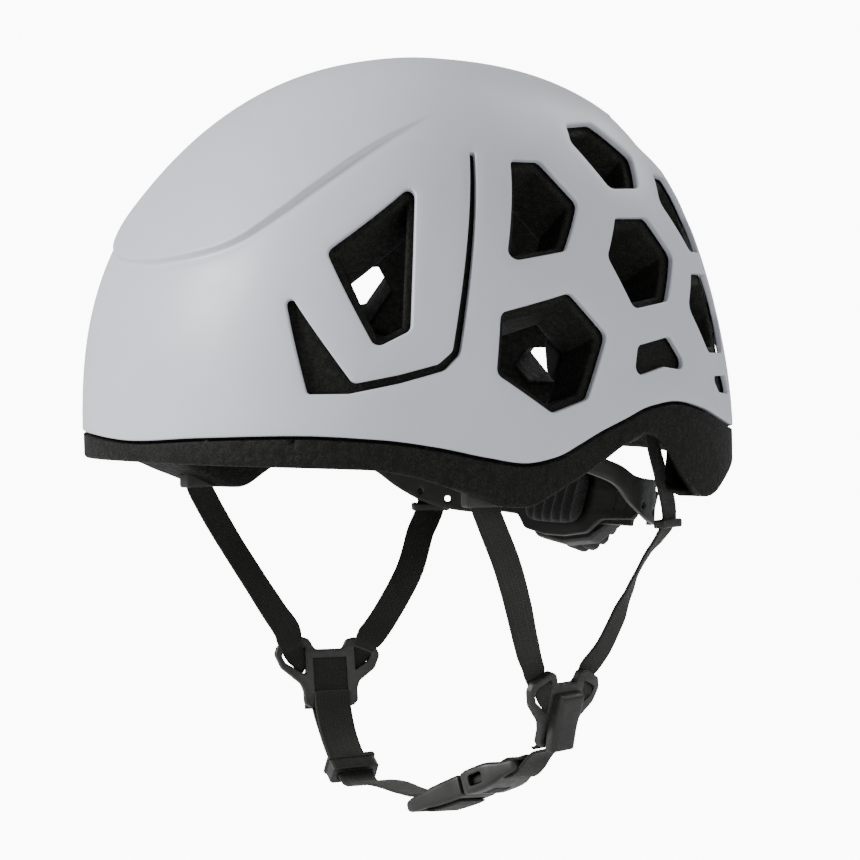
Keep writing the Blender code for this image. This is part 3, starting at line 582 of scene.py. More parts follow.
def crease_offset(az, phi):
    """Outward offset of the shell: a soft lip along the crown panel's lower edge."""
    az = signed(az)
    points = dome(az, phi)
    out = np.zeros(points.shape[:-1])
    which = np.nonzero((np.abs(az) < 75) & (points[..., 2] < 30))[0]
    if len(which) == 0:
        return out
    points, az = points[which], az[which]
    best, index = nearest(points, CREASE_POINTS)
    above_line = points[:, 2] > np.interp(az, CREASE_AZ, CREASE_Z)
    d = best * np.where(above_line, 1.0, -1.0)
    fade = CREASE_FADE[index]
    lip = np.where(d >= 0, np.exp(-np.maximum(d, 0) / 11.0), 0)
    h = 1.75 * fade * np.where(d >= 0.3, lip, ease(d, -1.3, 0.3))
    h -= 0.55 * fade * np.exp(-((d + 2.0) / 1.9) ** 2)
    h = np.where((np.abs(az) <= CREASE_AZ[-1]) | (best < 14), h, 0)
    out[which] = h * (1 - ease(best, 26, 60))
    return out


# ------------------------------------------------------------------ edges of the sheets
class Vent:
    """A vent's edge, with offsets into the material in mm."""

    def __init__(self, corners, radii, spacing, shrink=0.0):
        c = np.array(corners, float)
        self.centre = az, z = c[:, 0].mean(), c[:, 1].mean()
        phi = phi_of(z)
        # mm of surface per degree of azimuth and per mm of height
        high = phi_of(min(z + 0.5, DOME_TOP - 0.1))
        self.scale = (float(np.linalg.norm(dome(az + 0.5, phi) - dome(az - 0.5, phi))),
                      float(np.linalg.norm(dome(az, high) - dome(az, phi_of(z - 0.5)))))
        flat = (c - [az, z]) * list(self.scale)
        self.points, self.normals = rounded_loop(flat, radii, spacing)
        self.points = self.points - self.normals * shrink

    def at(self, offset):
        q = self.points + self.normals * offset
        return (q[:, 0] / self.scale[0] + self.centre[0],
                q[:, 1] / self.scale[1] + self.centre[1])


class Rim:
    """A lower edge, with offsets upwards in mm."""

    def __init__(self, table, count):
        self.az = np.linspace(0, 360, count, endpoint=False)
        z = lookup(table, self.az)
        self.z = (np.roll(z, 1) + z * 2 + np.roll(z, -1)) / 4

    def at(self, offset):
        return self.az, self.z + offset


def vent_pair(corners, radii, spacing, shrink=0.0):
    mirrored = [(360 - a, z) for a, z in reversed(corners)]
    mirrored_radii = np.broadcast_to(radii, len(corners))[::-1]
    return [Vent(corners, radii, spacing, shrink),
            Vent(mirrored, mirrored_radii, spacing, shrink)]


def shell_vents():
    vents = []
    for corners, radius, _ in SIDE_VENTS.values():
        vents += vent_pair(corners, radius, VENT_SPACING)
    for corners, radius, _ in CENTRE_VENTS.values():
        vents.append(Vent(corners, radius, VENT_SPACING))
    return vents + vent_pair(CLIP_CORNERS, CLIP_RADII, CLIP_SPACING)


def liner_vents():
    vents = []
    for corners, radius, shrink in SIDE_VENTS.values():
        if shrink is not None:
            vents += vent_pair(corners, radius, LINER_VENT_SPACING, shrink)
    for corners, radius, shrink in CENTRE_VENTS.values():
        vents.append(Vent(corners, radius, LINER_VENT_SPACING, shrink))
    return vents


# ------------------------------------------------------------------ solids between two sheets
def ring_points(spacing, phi_end):
    """Staggered rings of points from the pole down: azimuths and polar angles."""
    azimuths, phis = [vec(0.0)], [vec(0.0)]
    phi, ring, probe = 0.0, 0, 0.02
    while True:
        arc = np.linalg.norm(dome(45.0, phi + probe) - dome(45.0, phi))
        phi += probe * spacing / arc
        if phi > phi_end:
            return np.concatenate(azimuths), np.concatenate(phis)
        around = travelled(dome(np.linspace(0, 360, 73), phi))[-1]
        count = max(8, int(around / spacing))
        azimuths.append((np.arange(count) + (0.5 if ring % 2 else 0.0)) * 360.0 / count)
        phis.append(np.full(count, phi))
        ring += 1


def triangulate_chart(points, edges, outline, holes):
    """Counter-clockwise triangles, numbered by the given points."""
    _, _, found, origins, _, _ = delaunay_2d_cdt(
        [Vector(p) for p in points.tolist()], edges, [], 0, 1e-7)
    number = [o[0] if len(o) else -1 for o in origins]
    triangles = []
    for face in found:
        corners = [number[i] for i in face]
        if -1 not in corners and len(set(corners)) == 3:
            triangles.append(corners)
    triangles = np.array(triangles)
    triangles = triangles[in_region(points[triangles].mean(1), outline, holes)]
    e1 = points[triangles[:, 1]] - points[triangles[:, 0]]
    e2 = points[triangles[:, 2]] - points[triangles[:, 0]]
    backward = e1[:, 0] * e2[:, 1] - e1[:, 1] * e2[:, 0] < 0
    triangles[backward] = triangles[backward][:, ::-1]
    return triangles


def edge_rows(fillet_out, fillet_in, wall_rows, steps=3):
    """Rows across an edge, outer to inner: (offset into the material, face, amount)."""
    turns = [0.5 * math.pi * k / steps for k in range(1, steps + 1)]
    rows = [(fillet_out * (1 - math.sin(t)), "out", fillet_out * (1 - math.cos(t)))
            for t in turns]
    rows += [(0.0, "mid", w) for w in wall_rows]
    rows += [(fillet_in * (1 - math.sin(t)), "in", fillet_in * (1 - math.cos(t)))
             for t in reversed(turns)]
    return rows


def sheet_solid(name, vents, rim, surface, spacing, fillet_out, fillet_in, wall_rows,
                extra_az, extra_z, clearance):
    """Closed solid between two sheets with vents and rounded edges.
    surface(az, phi, face, amount) gives points: amount is the depth from the outer sheet for
    "out", the distance back from the inner sheet for "in", and the share between for "mid".
    Extra points hold fine shape, and plain points keep the clearance from them."""
    borders = vents + [rim]
    border_az, border_phi = [], []
    for border in borders:
        a, z = border.at(fillet_out)
        border_az.append(a)
        border_phi.append(phi_of(z))
    polygons = [to_chart(a, p) for a, p in zip(border_az, border_phi)]
    outline, holes = polygons[-1], polygons[:-1]

    az, phi = ring_points(spacing, max(p.max() for p in border_phi))
    extra_phi = phi_of(extra_z)
    chart, extra = to_chart(az, phi), to_chart(extra_az, extra_phi)
    used = in_region(chart, outline, holes)
    extra_used = in_region(extra, outline, holes)
    for polygon in polygons:
        used &= ~near_polygon(chart, polygon, spacing * 0.75)
        extra_used &= ~near_polygon(extra, polygon, 0.9)
    used &= nearest(chart, extra)[0] >= clearance
    az = np.concatenate([az[used], extra_az[extra_used]] + border_az)
    phi = np.concatenate([phi[used], extra_phi[extra_used]] + border_phi)
    points = np.concatenate([chart[used], extra[extra_used]] + polygons)

    rings, edges = [], []
    start = len(points) - sum(map(len, polygons))
    for polygon in polygons:
        ring = list(range(start, start + len(polygon)))
        rings.append(ring)
        edges += zip(ring, ring[1:] + ring[:1])
        start += len(polygon)
    triangles = triangulate_chart(points, edges, outline, holes)

    verts = [surface(az, phi, "out", 0.0), surface(az, phi, "in", 0.0)]
    sheet_size = len(points)
    faces = [tuple(t) for t in triangles.tolist()]
    faces += [tuple(t) for t in (triangles[:, ::-1] + sheet_size).tolist()]
    total = 2 * sheet_size
    for border, outer_ring in zip(borders, rings):
        n = len(outer_ring)
        chain = [outer_ring]
        for offset, face, amount in edge_rows(fillet_out, fillet_in, wall_rows):
            a, z = border.at(offset)
            verts.append(surface(a, phi_of(z), face, amount))
            chain.append(list(range(total, total + n)))
            total += n
        chain.append([i + sheet_size for i in outer_ring])
        for first, second in zip(chain, chain[1:]):
            quads = band(first, second)
            if border is rim:
                quads = [(b, a, d, c) for a, b, c, d in quads]
            faces += quads
    return from_faces(name, np.concatenate(verts), faces, sharp=None)


# ------------------------------------------------------------------ shell
def shell_surface(az, phi, face, amount):
    skin, normal = dome(az, phi), dome_normal(az, phi)
    inner = skin - normal * SHELL_WALL
    if face == "in":
        return inner + normal * amount
    outer = skin + normal * crease_offset(az, phi)[..., None]
    if face == "out":
        return outer - normal * amount
    return outer + (inner - outer) * amount


def crease_rows():
    """Rows of points beside the crease that hold its shape."""
    offsets = [-6.0, -4.2, -3.0, -2.2, -1.7, -1.25, -0.85, -0.45, -0.1, 0.25, 0.8, 1.6, 2.8, 4.6]
    travel = travelled(CREASE_POINTS)
    at = np.arange(0, travel[-1], 1.3)
    az, z = np.interp(at, travel, CREASE_AZ), np.interp(at, travel, CREASE_Z)
    points = dome(az, phi_of(z))
    tangent = resample(at, travel, unit_rows(np.gradient(CREASE_POINTS, axis=0)))
    aside = unit_rows(np.cross(dome_normal(az, phi_of(z)), tangent))
    aside = np.where(aside[:, 2:3] < 0, -aside, aside)
    all_az, all_z = [], []
    for k, offset in enumerate(offsets):
        row = points + aside * offset
        if abs(offset) > 2.5:            # the outlying rows are half as dense
            row = row[(k % 2)::2]
        all_az.append(np.degrees(np.arctan2(row[:, 0], -row[:, 1])))
        all_z.append(row[:, 2])
    return np.concatenate(all_az), np.concatenate(all_z)


def build_shell():
    extra_az, extra_z = crease_rows()
    shell = sheet_solid(
        "outer_shell_skin", shell_vents(), Rim(SHELL_RIM, int(RIM_LENGTH / 1.6)), shell_surface,
        spacing=2.9, fillet_out=0.75, fillet_in=0.5, wall_rows=[0.3, 0.7],
        extra_az=extra_az, extra_z=extra_z, clearance=1.6)
    keep(shell, "helmet", "shell", "outer_shell")


# ------------------------------------------------------------------ liner
def cavity(az, phi):
    """Inner face of the liner, with a lobe behind each temple and a flare at the rim."""
    t = np.radians(az)
    u = np.where(phi <= np.pi / 2, np.cos(phi), 0.0)
    z = np.where(phi <= np.pi / 2, DOME_BASE + (CAVITY_TOP - DOME_BASE) * np.cos(phi), z_of(phi))
    k = np.maximum((1 - u**CAVITY_POWER) ** (1 / CAVITY_POWER), 1e-6)
    dx, dy = np.sin(t), -np.cos(t)
    half_y = np.where(dy < 0, CAVITY_FRONT, CAVITY_REAR) * k
    turn = np.abs(signed(az))
    lobe = ease(turn, 106, 114) * (1 - ease(turn, 134, 146)) * (1 - ease(z, -118, -100))
    flare = 3.0 * (1 - ease(z, -127, -117)) * (1 - lobe)
    r = 1.0 / plan_norm(dx, dy, CAVITY_HALF_WIDTH * k, half_y) + 8.5 * lobe + flare
    return np.stack([r * dx, r * dy, z], -1)


def liner_surface(az, phi, face, amount):
    skin, normal = dome(az, phi), dome_normal(az, phi)
    z = z_of(phi)
    rim = lookup(SHELL_RIM, az)
    depth = 0.35 + 3.0 * ease(z, rim - 1.5, rim - 0.9)     # set in behind the shell
    outer = skin - normal * depth[..., None]
    # low down, the inner face slides round the head beside the lobes
    turn = signed(az)
    side, turn = np.where(turn < 0, -1.0, 1.0), np.abs(turn)
    slide = (12.5 * ease(turn, 92, 105) * (1 - ease(turn, 121, 131))
             - 8.0 * ease(turn, 129, 134) * (1 - ease(turn, 138, 150)))
    inner = cavity(az + side * slide * ease(-z, 96.0, 122.0), phi)
    through = inner - outer
    through = through / np.linalg.norm(through, axis=-1, keepdims=True)
    if face == "in":
        return inner - through * amount
    if face == "out":
        return outer + through * amount
    return outer + (inner - outer) * amount


def build_liner():
    # close rows beside the shell's rim hold the step in the liner's outer face
    offsets = [-3.0, -1.9, -1.5, -1.3, -1.1, -0.9, -0.5, 0.6]
    shell_rim = Rim(SHELL_RIM, 420)
    liner = sheet_solid(
        "foam_liner_body", liner_vents(), Rim(LINER_RIM, int(RIM_LENGTH / 2.2)), liner_surface,
        spacing=4.2, fillet_out=1.5, fillet_in=2.0, wall_rows=[0.15, 0.35, 0.6, 0.85],
        extra_az=np.tile(shell_rim.az, len(offsets)),
        extra_z=np.concatenate([shell_rim.at(o)[1] for o in offsets]), clearance=0.9)
    keep(liner, "helmet", "foam", "foam_liner")


build_shell()
build_liner()

# ------------------------------------------------------------------ webbing
WEBBING_THICKNESS = 1.2
STRAP_WIDTH, CHIN_WIDTH, CHANNEL_WIDTH = 12.0, 16.0, 16.4
STRAP_GATHER = (10.5, 0.78)      # gathered length at the strap's end, share of the width left


def dense_path(path, sub=14):
    """Centripetal Catmull-Rom through (point, across) pairs; across is carried along."""
    points = np.array([p for p, _ in path], float)
    across = np.array([unit(a) for _, a in path], float)
    ext = np.vstack([2 * points[0] - points[1], points, 2 * points[-1] - points[-2]])
    line, carried = [], []
    for i in range(len(points) - 1):
        p0, p1, p2, p3 = ext[i:i + 4]
        t0 = 0.0
        t1 = t0 + max(np.linalg.norm(p1 - p0), 1e-6) ** 0.5
        t2 = t1 + max(np.linalg.norm(p2 - p1), 1e-6) ** 0.5
        t3 = t2 + max(np.linalg.norm(p3 - p2), 1e-6) ** 0.5
        for j in range(sub):
            t = t1 + (t2 - t1) * j / sub
            a1 = (t1 - t) / (t1 - t0) * p0 + (t - t0) / (t1 - t0) * p1
            a2 = (t2 - t) / (t2 - t1) * p1 + (t - t1) / (t2 - t1) * p2
            a3 = (t3 - t) / (t3 - t2) * p2 + (t - t2) / (t3 - t2) * p3
            b1 = (t2 - t) / (t2 - t0) * a1 + (t - t0) / (t2 - t0) * a2
            b2 = (t3 - t) / (t3 - t1) * a2 + (t - t1) / (t3 - t1) * a3
            line.append((t2 - t) / (t2 - t1) * b1 + (t - t1) / (t2 - t1) * b2)
            f = j / sub
            f = f * f * (3 - 2 * f)
            carried.append(across[i] * (1 - f) + across[i + 1] * f)
    line.append(points[-1])
    carried.append(across[-1])
    return np.array(line), np.array(carried)


def strap_stations(travel, bend, rows):
    """Distances along a strap, closer together in bends and at the stitch rows."""
    length = travel[-1]
    stations, s = [0.0], 0.0
    while s < length:
        step = min(1.7, max(0.35, 0.30 / max(np.interp(s, travel, bend), 1e-3)))
        for row in rows:
            if abs(s + 0.5 * step - row) < 1.2 + 0.5 * step:
                step = min(step, 0.36)
        s += step
        stations.append(min(s, length))
    if stations[-1] - stations[-2] < 0.15:
        stations.pop(-2)
    return np.array(stations)


def strap_section(width):
    """Flat oval as (across, height, column, face), and its number of columns."""
    half, half_thick = width / 2, WEBBING_THICKNESS / 2
    end = half_thick * 0.9
    columns = 2 * int(round(width / 1.6)) + 1
    top = list(enumerate(np.linspace(-half + end, half - end, columns)))
    turns = [math.radians(t) for t in (60, 25, -25, -60)]
    loop = [(a, half_thick, j, 1) for j, a in top]
    loop += [(half - end + end * math.cos(t), half_thick * math.sin(t), -1, 0) for t in turns]
    loop += [(a, -half_thick, j, -1) for j, a in reversed(top)]
    loop += [(-half + end - end * math.cos(t), half_thick * math.sin(t), -1, 0)
             for t in reversed(turns)]
    return loop, columns


def webbing(name, path, width, rows=(), gather=None):
    """Woven strap: a closed flat oval swept along a path, with raised stitch rows.
    Rows are distances along it, negative from its end. Attributes su (across) and sv (along),
    in mm, carry the weave."""
    line, carried = dense_path(path)
    travel = travelled(line)
    tangents = unit_rows(np.gradient(line, travel, axis=0))
    bend = np.linalg.norm(np.gradient(tangents, travel, axis=0), axis=1)
    length = travel[-1]
    rows = [r if r >= 0 else length + r for r in rows]
    stations = strap_stations(travel, bend, rows)
    centre = resample(stations, travel, line)
    tangent = unit_rows(resample(stations, travel, tangents))
    across = square_to(resample(stations, travel, carried), tangent)
    normal = np.cross(tangent, across)
    loop, columns = strap_section(width)
    m = len(loop)
    verts, su, sv = [], [], []
    for i, s in enumerate(stations):
        end = min(s, length - s)
        slim = 1.0 if end > 0.6 else 0.55 + 0.45 * math.sqrt(max(0.0, end / 0.6))
        pull = 1.0
        if gather:
            start = length - gather[0]
            pull = 1.0 - (1.0 - gather[1]) * float(ease(s, start - 5.0, start))
        for a, height, column, face in loop:
            h = height * slim
            if face and abs(a) < width / 2 - 1.0:
                for row in rows:
                    d = (s - row) / 0.45
                    if abs(d) < 3:
                        h += face * 0.30 * math.exp(-d * d) * (1.0 if column % 2 else 0.30)
            verts.append(centre[i] + across[i] * a * pull + normal[i] * h)
            su.append(a)
            sv.append(s)
    rings = [list(range(i * m, (i + 1) * m)) for i in range(len(stations))]
    faces = []
    for first, second in zip(rings, rings[1:]):
        faces += band(first, second)
    for ring in (rings[0], rings[-1]):
        # cap: pair the upper run with the lower run
        up, right = ring[:columns], ring[columns:columns + 4]
        low, left = ring[columns + 4:2 * columns + 4][::-1], ring[2 * columns + 4:]
        for k in range(columns - 1):
            faces.append((up[k], up[k + 1], low[k + 1], low[k]))
        faces.append((up[-1], *right, low[-1]))
        faces.append((low[0], *left, up[0]))
    return from_faces(name, verts, faces, sharp=55, attributes={"su": su, "sv": sv})


def mirror_path(path, sign):
    return [(mirror(p, sign), mirror(a, sign)) for p, a in path]


def arc_points(centre, a_dir, b_dir, r, start, end, n):
    """Points on an arc in the plane of two unit directions, between angles in degrees."""
    out = []
    for i in range(n + 1):
        t = math.radians(start + (end - start) * i / n)
        out.append(centre + a_dir * r * math.cos(t) + b_dir * r * math.sin(t))
    return out


# ------------------------------------------------------------------ strap dividers
# Set out for the wearer's left: U runs rearwards, V up and OUT away from the head
DIVIDER = vec(76.3, 14.5, -223.4)
DIVIDER_U = unit((-0.275, 0.961, 0.0))
UP = vec(0, 0, 1)
DIVIDER_LEAN = math.radians(12.0)        # leans in towards the chin below
DIVIDER_V = UP * math.cos(DIVIDER_LEAN) + np.cross(DIVIDER_U, UP) * math.sin(DIVIDER_LEAN)
DIVIDER_OUT = np.cross(DIVIDER_U, DIVIDER_V)
LOW_BAR_V = -10.7
# outline and openings in (u, v), each with its corner radii
DIVIDER_OUTLINE = [
    (-24.0, 10.2), (-22.5, 13.8), (-11.9, 17.4), (-8.6, 16.2), (-6, 11.6), (6.5, 11.6),
    (8.7, 15.6), (12.2, 16.2), (21.4, 12.4), (23.2, 8.0), (20.5, 2.4), (13.2, -2.8),
    (12.0, -6.0), (12.0, -11.0), (9.8, -13.0), (-9.8, -13.0), (-12.0, -11.0), (-12.0, -6.0),
    (-13.2, -2.8), (-21.4, 4.2)]
DIVIDER_RADII = [2.6, 2.0, 2.2, 1.8, 2.2, 2.2, 1.8, 2.0, 2.4, 2.8, 3.0, 3.0, 2.5, 1.6, 1.4, 1.4,
                 1.6, 2.5, 3.0, 3.5]
DIVIDER_HOLES = [
    ([(-20.9, 8.7), (-20.5, 10.8), (-11.7, 14.1), (-10.5, 12.4), (-10.5, 2.2), (-11.4, 1.3),
      (-19.4, 6.1)], [1.0, 1.2, 1.0, 1.2, 1.4, 1.0, 1.4]),
    ([(10.5, 11.7), (11.6, 12.9), (19.7, 9.6), (19.9, 7.8), (18.5, 5.0), (11.4, 0.9),
      (10.5, 1.8)], [1.2, 1.0, 1.2, 1.0, 1.4, 1.0, 1.4]),
    (rectangle(-8.4, -8.9, 8.4, 8.6), 1.0)]
# ears that carry the straps: centre (u, v) and tilt in degrees
FRONT_EAR = (vec(-16.2, 12.0), 22.0)
REAR_EAR = (vec(15.6, 10.9), -24.0)
# (v, out) of the short webbing in the divider's channel
CHANNEL = [(9.2, -0.1), (8.0, -0.55), (5.0, -0.75), (0.0, -0.8), (-4.2, -0.8), (-6.4, -0.5),
           (-7.4, 0.5), (-7.6, 1.6)]
LOCK_TOP, LOCK_END = 8.3, -13.2
LOCK_CROWN = 2.0                 # length of the rounded top
LOCK_COLUMNS = 26


def on_divider(u, v, out):
    return DIVIDER + DIVIDER_U * u + DIVIDER_V * v + DIVIDER_OUT * out


def on_ear(ear, height, out):
    centre, tilt = ear
    t = math.radians(tilt)
    u, v = centre + vec(-math.sin(t), math.cos(t)) * height
    return on_divider(u, v, out)


def ear_slope(ear):
    t = math.radians(ear[1])
    return DIVIDER_U * math.cos(t) + DIVIDER_V * math.sin(t)


def build_divider(sign, side):
    u, v = mirror(DIVIDER_U, sign), mirror(DIVIDER_V, sign)
    frame = plate("divider_%s_frame" % side, corner_loop(DIVIDER_OUTLINE, DIVIDER_RADII),
                  [hole_loop(*hole) for hole in DIVIDER_HOLES], 3.4, mirror(DIVIDER, sign), u, v,
                  bevel=0.8)
    backing = plate("backing", corner_loop(rectangle(-9.4, -4.6, 9.4, 9.4), 0.8), [], 1.3,
                    mirror(on_divider(0, 0, 0.95), sign), u, v, bevel=0.3, seg=2)
    fuse(frame, backing)
    keep(frame, "harness_" + side, "plastic", "divider_" + side)
    path = mirror_path([(on_divider(0, h, out), DIVIDER_U) for h, out in CHANNEL], sign)
    keep(webbing("divider_webbing_" + side, path, CHANNEL_WIDTH, rows=(2.0, 13.0)),
         "harness_" + side, "webbing")


def lock_point(v, k, inner):
    """Point of the cover's skin at height v and column k."""
    top = math.sqrt(max(0.0, 1 - max(0.0, 1 - (LOCK_TOP - v) / LOCK_CROWN) ** 2))
    flare = float(ease(-v, -2.0, 13.0))
    height = 0.9 + 3.2 * top - 0.3 * flare
    wide = 8.4 - 0.5 * (1 - top) - 0.7 * flare
    low = 1.75 + 1.5 * flare ** 1.5
    drift = -2.6 * float(ease(-v, -8.0, 13.0))
    t = math.pi * k / (LOCK_COLUMNS - 1)
    c, power = math.cos(t), 0.34         # a squared-off arch
    u = -wide * math.copysign(abs(c) ** power, c)
    arch = abs(math.sin(t)) ** power
    if not inner:
        return on_divider(u + drift, v, low + height * arch)
    u *= (wide - 1.4) / wide
    return on_divider(u + drift, v - 1.2 * (1 - top), low + max(0.05, height - 1.3) * arch)


def build_lock_cover(sign, side):
    """Hinged cover over the strap ends: a hollow shield, rounded on top, open and flared below."""
    heights = np.concatenate([
        LOCK_TOP - LOCK_CROWN * (1 - np.cos(np.linspace(0, math.pi / 2, 7))),
        np.linspace(LOCK_TOP - 3.2, LOCK_END + 1.0, 12),
        LOCK_END + 1.0 * (1 - np.sin(np.linspace(0.3, math.pi / 2, 4)))])
    n, columns = len(heights), LOCK_COLUMNS
    verts = [mirror(lock_point(v, k, inner), sign)
             for inner in (False, True) for v in heights for k in range(columns)]
    rows = [range(i * columns, (i + 1) * columns) for i in range(2 * n)]
    joined = [(start + i, start + i + 1) for start in (0, n) for i in range(n - 1)]
    joined += [(0, n), (n - 1, 2 * n - 1)]
    faces = [(rows[i][k], rows[i][k + 1], rows[j][k + 1], rows[j][k])
             for i, j in joined for k in range(columns - 1)]
    faces += [(rows[i][k], rows[i + 1][k], rows[n + i + 1][k], rows[n + i][k])
              for k in (0, columns - 1) for i in range(n - 1)]
    cover = from_faces("divider_lock_%s_cover" % side, verts, faces, sharp=42)
    keep(cover, "lock_" + side, "plastic", "divider_lock_" + side)


# ------------------------------------------------------------------ front and rear straps
def front_strap_path():
    """From the liner's pocket, behind the ear's bar, through it and towards the centre."""
    level, turned = vec(0.0, 1.0, 0.0), vec(-0.04, 1.0, 0.0)
    slope = ear_slope(FRONT_EAR)
    tail_start = DIVIDER_U * 0.80 + DIVIDER_V * 0.60
    tail_end = DIVIDER_U * 0.53 + DIVIDER_V * 0.85
    return [
        ((96.6, -40.5, -133.0), level), ((96.4, -39.0, -140.0), level),
        ((95.9, -34.9, -148.0), level), ((93.8, -25.6, -164.0), level),
        ((89.4, -16.6, -180.0), turned), ((84.2, -8.2, -195.5), turned * 0.6 + slope * 0.4),
        ((81.8, -3.5, -203.4), slope), (on_ear(FRONT_EAR, 3.6, -2.4), slope),
        (on_ear(FRONT_EAR, 1.4, -2.0), slope), (on_ear(FRONT_EAR, 0.3, -0.9), slope),
        (on_divider(-15.6, 11.4, 0.1), slope * 0.7 + tail_start * 0.3),
        (on_divider(-14.4, 9.6, 0.55), tail_start),
        (on_divider(-11.6, 7.2, 0.6), tail_end), (on_divider(-9.3, 6.0, 0.6), tail_end)]


def rear_strap_path():
    """From the liner's pocket, through the guide and the rear ear."""
    slope = ear_slope(REAR_EAR)
    tail_start = DIVIDER_U * 0.82 - DIVIDER_V * 0.57
    tail_end = DIVIDER_U * 0.58 - DIVIDER_V * 0.81
    below_guide = vec(-0.40, 0.84, -0.36)
    return [
        ((84.4, 53.6, -106.0), (-0.5, 0.866, 0.0)), ((84.2, 54.0, -116.0), (-0.5, 0.866, 0.1)),
        ((81.5, 61.6, -132.4), (-0.45, 0.80, 0.40)), ((78.0, 69.3, -146.5), (-0.40, 0.91, 0.10)),
        ((77.25, 69.9, -152.0), (-0.38, 0.92, 0.0)), ((76.2, 66.8, -157.4), (-0.48, 0.88, 0.0)),
        ((74.6, 62.0, -163.6), (-0.62, 0.78, 0.0)), ((72.6, 57.8, -171.5), (-0.70, 0.70, -0.10)),
        ((71.8, 54.0, -179.5), (-0.62, 0.74, -0.25)), ((72.0, 48.2, -189.0), below_guide),
        ((72.6, 40.0, -200.5), slope * 0.5 + below_guide * 0.5),
        ((72.4, 35.4, -205.4), slope), (on_ear(REAR_EAR, 3.2, -2.4), slope),
        (on_ear(REAR_EAR, 1.4, -2.0), slope), (on_ear(REAR_EAR, 0.3, -0.9), slope),
        (on_divider(14.9, 9.9, 0.1), slope * 0.7 + tail_start * 0.3),
        (on_divider(13.6, 8.2, 0.55), tail_start),
        (on_divider(11.3, 6.6, 0.6), tail_end), (on_divider(9.3, 5.7, 0.6), tail_end)]


# name, path, and where the strap passes from the helmet's movement to the divider's
STRAPS = [("front_strap_", front_strap_path(), (96, -38, -142), (91, -20, -174)),
          ("rear_strap_", rear_strap_path(), (84, 54, -114), (78.5, 69, -146))]


def build_straps(sign, side):
    for prefix, path, start, end in STRAPS:
        strap = webbing(prefix + side + "_webbing", mirror_path(path, sign), STRAP_WIDTH,
                        gather=STRAP_GATHER)
        keep_blend(strap, "helmet", "harness_" + side, mirror(start, sign), mirror(end, sign),
                   "webbing", prefix + side)


def build_strap_guide(sign, side):
    guide = plate("strap_guide_%s_loop" % side, corner_loop(rectangle(-8.2, -2.9, 8.2, 2.9), 1.5),
                  [hole_loop(rectangle(-6.6, -1.2, 6.6, 1.2), 0.5)], 3.4,
                  mirror((77.25, 69.6, -152.8), sign), mirror((-0.38, 0.92, 0.0), sign),
                  mirror((0.924, 0.382, 0.05), sign), bevel=0.8)
    keep(guide, "harness_" + side, "plastic", "strap_guide_" + side)


for sign, side in SIDES:
    build_divider(sign, side)
    build_lock_cover(sign, side)
    build_straps(sign, side)
    build_strap_guide(sign, side)

# ------------------------------------------------------------------ chin straps
# Buckle axes: A runs along it towards the wearer's left, B across it, N through it
BUCKLE = vec(36.75, 4.9, -255.6)
BUCKLE_A = unit((0.898, 0.219, 0.383))
BUCKLE_B = unit(vec(0, 1, 0) - BUCKLE_A * BUCKLE_A[1])
BUCKLE_N = np.cross(BUCKLE_B, BUCKLE_A)
# Adjuster on the wearer's right: its strap runs from top to low
ADJUSTER_TOP, ADJUSTER_LOW = vec(-60.0, 10.8, -254.4), vec(-45.5, 8.0, -265.2)
ADJUSTER_DOWN = unit(ADJUSTER_LOW - ADJUSTER_TOP)
RIGHT_U = mirror(DIVIDER_U, -1)
ADJUSTER_X = unit(RIGHT_U - ADJUSTER_DOWN * (RIGHT_U @ ADJUSTER_DOWN))
ADJUSTER_OUT = np.cross(ADJUSTER_X, ADJUSTER_DOWN)


def on_buckle(a, b, n):
    return BUCKLE + BUCKLE_A * a + BUCKLE_B * b + BUCKLE_N * n


def low_fold(r=2.3):
    """Round the left divider's low bar, from the outer run to the inner run."""
    points = [on_divider(0, LOW_BAR_V - 2.4, r), on_divider(0, LOW_BAR_V + 1.6, r)]
    points += arc_points(on_divider(0, LOW_BAR_V + 1.9, 0), DIVIDER_OUT, DIVIDER_V, r, 12, 168, 6)
    points += [on_divider(0, LOW_BAR_V + 1.6, -r), on_divider(0, LOW_BAR_V - 2.4, -r)]
    return [(p, DIVIDER_U) for p in points]


def build_left_chin_strap():
    """A sewn loop between the divider's low bar and the socket's bar."""
    bar, socket_end = on_divider(0, LOW_BAR_V, 0), on_buckle(28.5, 0, 0)
    middle = (bar + socket_end) / 2
    out = unit(np.cross(socket_end - bar, DIVIDER_U))
    along = unit(middle - socket_end)
    halfway = DIVIDER_U * 0.5 + BUCKLE_B * 0.5
    fold = arc_points(on_buckle(22.4, 0, 0), BUCKLE_A, BUCKLE_N, 3.1, 96, 264, 8)
    path = [(middle - out * 0.66 + along * 2.2, BUCKLE_B),
            (middle - out * 0.70 + along * 1.6, halfway)]
    path += low_fold()[::-1]
    path += [(middle + out * 0.80, halfway), (on_buckle(28.6, 0, 2.0), BUCKLE_B),
             (on_buckle(25.0, 0, 3.3), BUCKLE_B)]
    path += [(p, BUCKLE_B) for p in fold]
    path += [(on_buckle(25.0, 0, -3.3), BUCKLE_B), (on_buckle(28.6, 0, -2.0), BUCKLE_B),
             (middle - out * 0.66 - along * 2.6, DIVIDER_U * 0.4 + BUCKLE_B * 0.6)]
    strap = webbing("chin_strap_left_webbing", path, CHIN_WIDTH, rows=(3.0, -3.0))
    keep(strap, "chin", "webbing", "chin_strap_left")


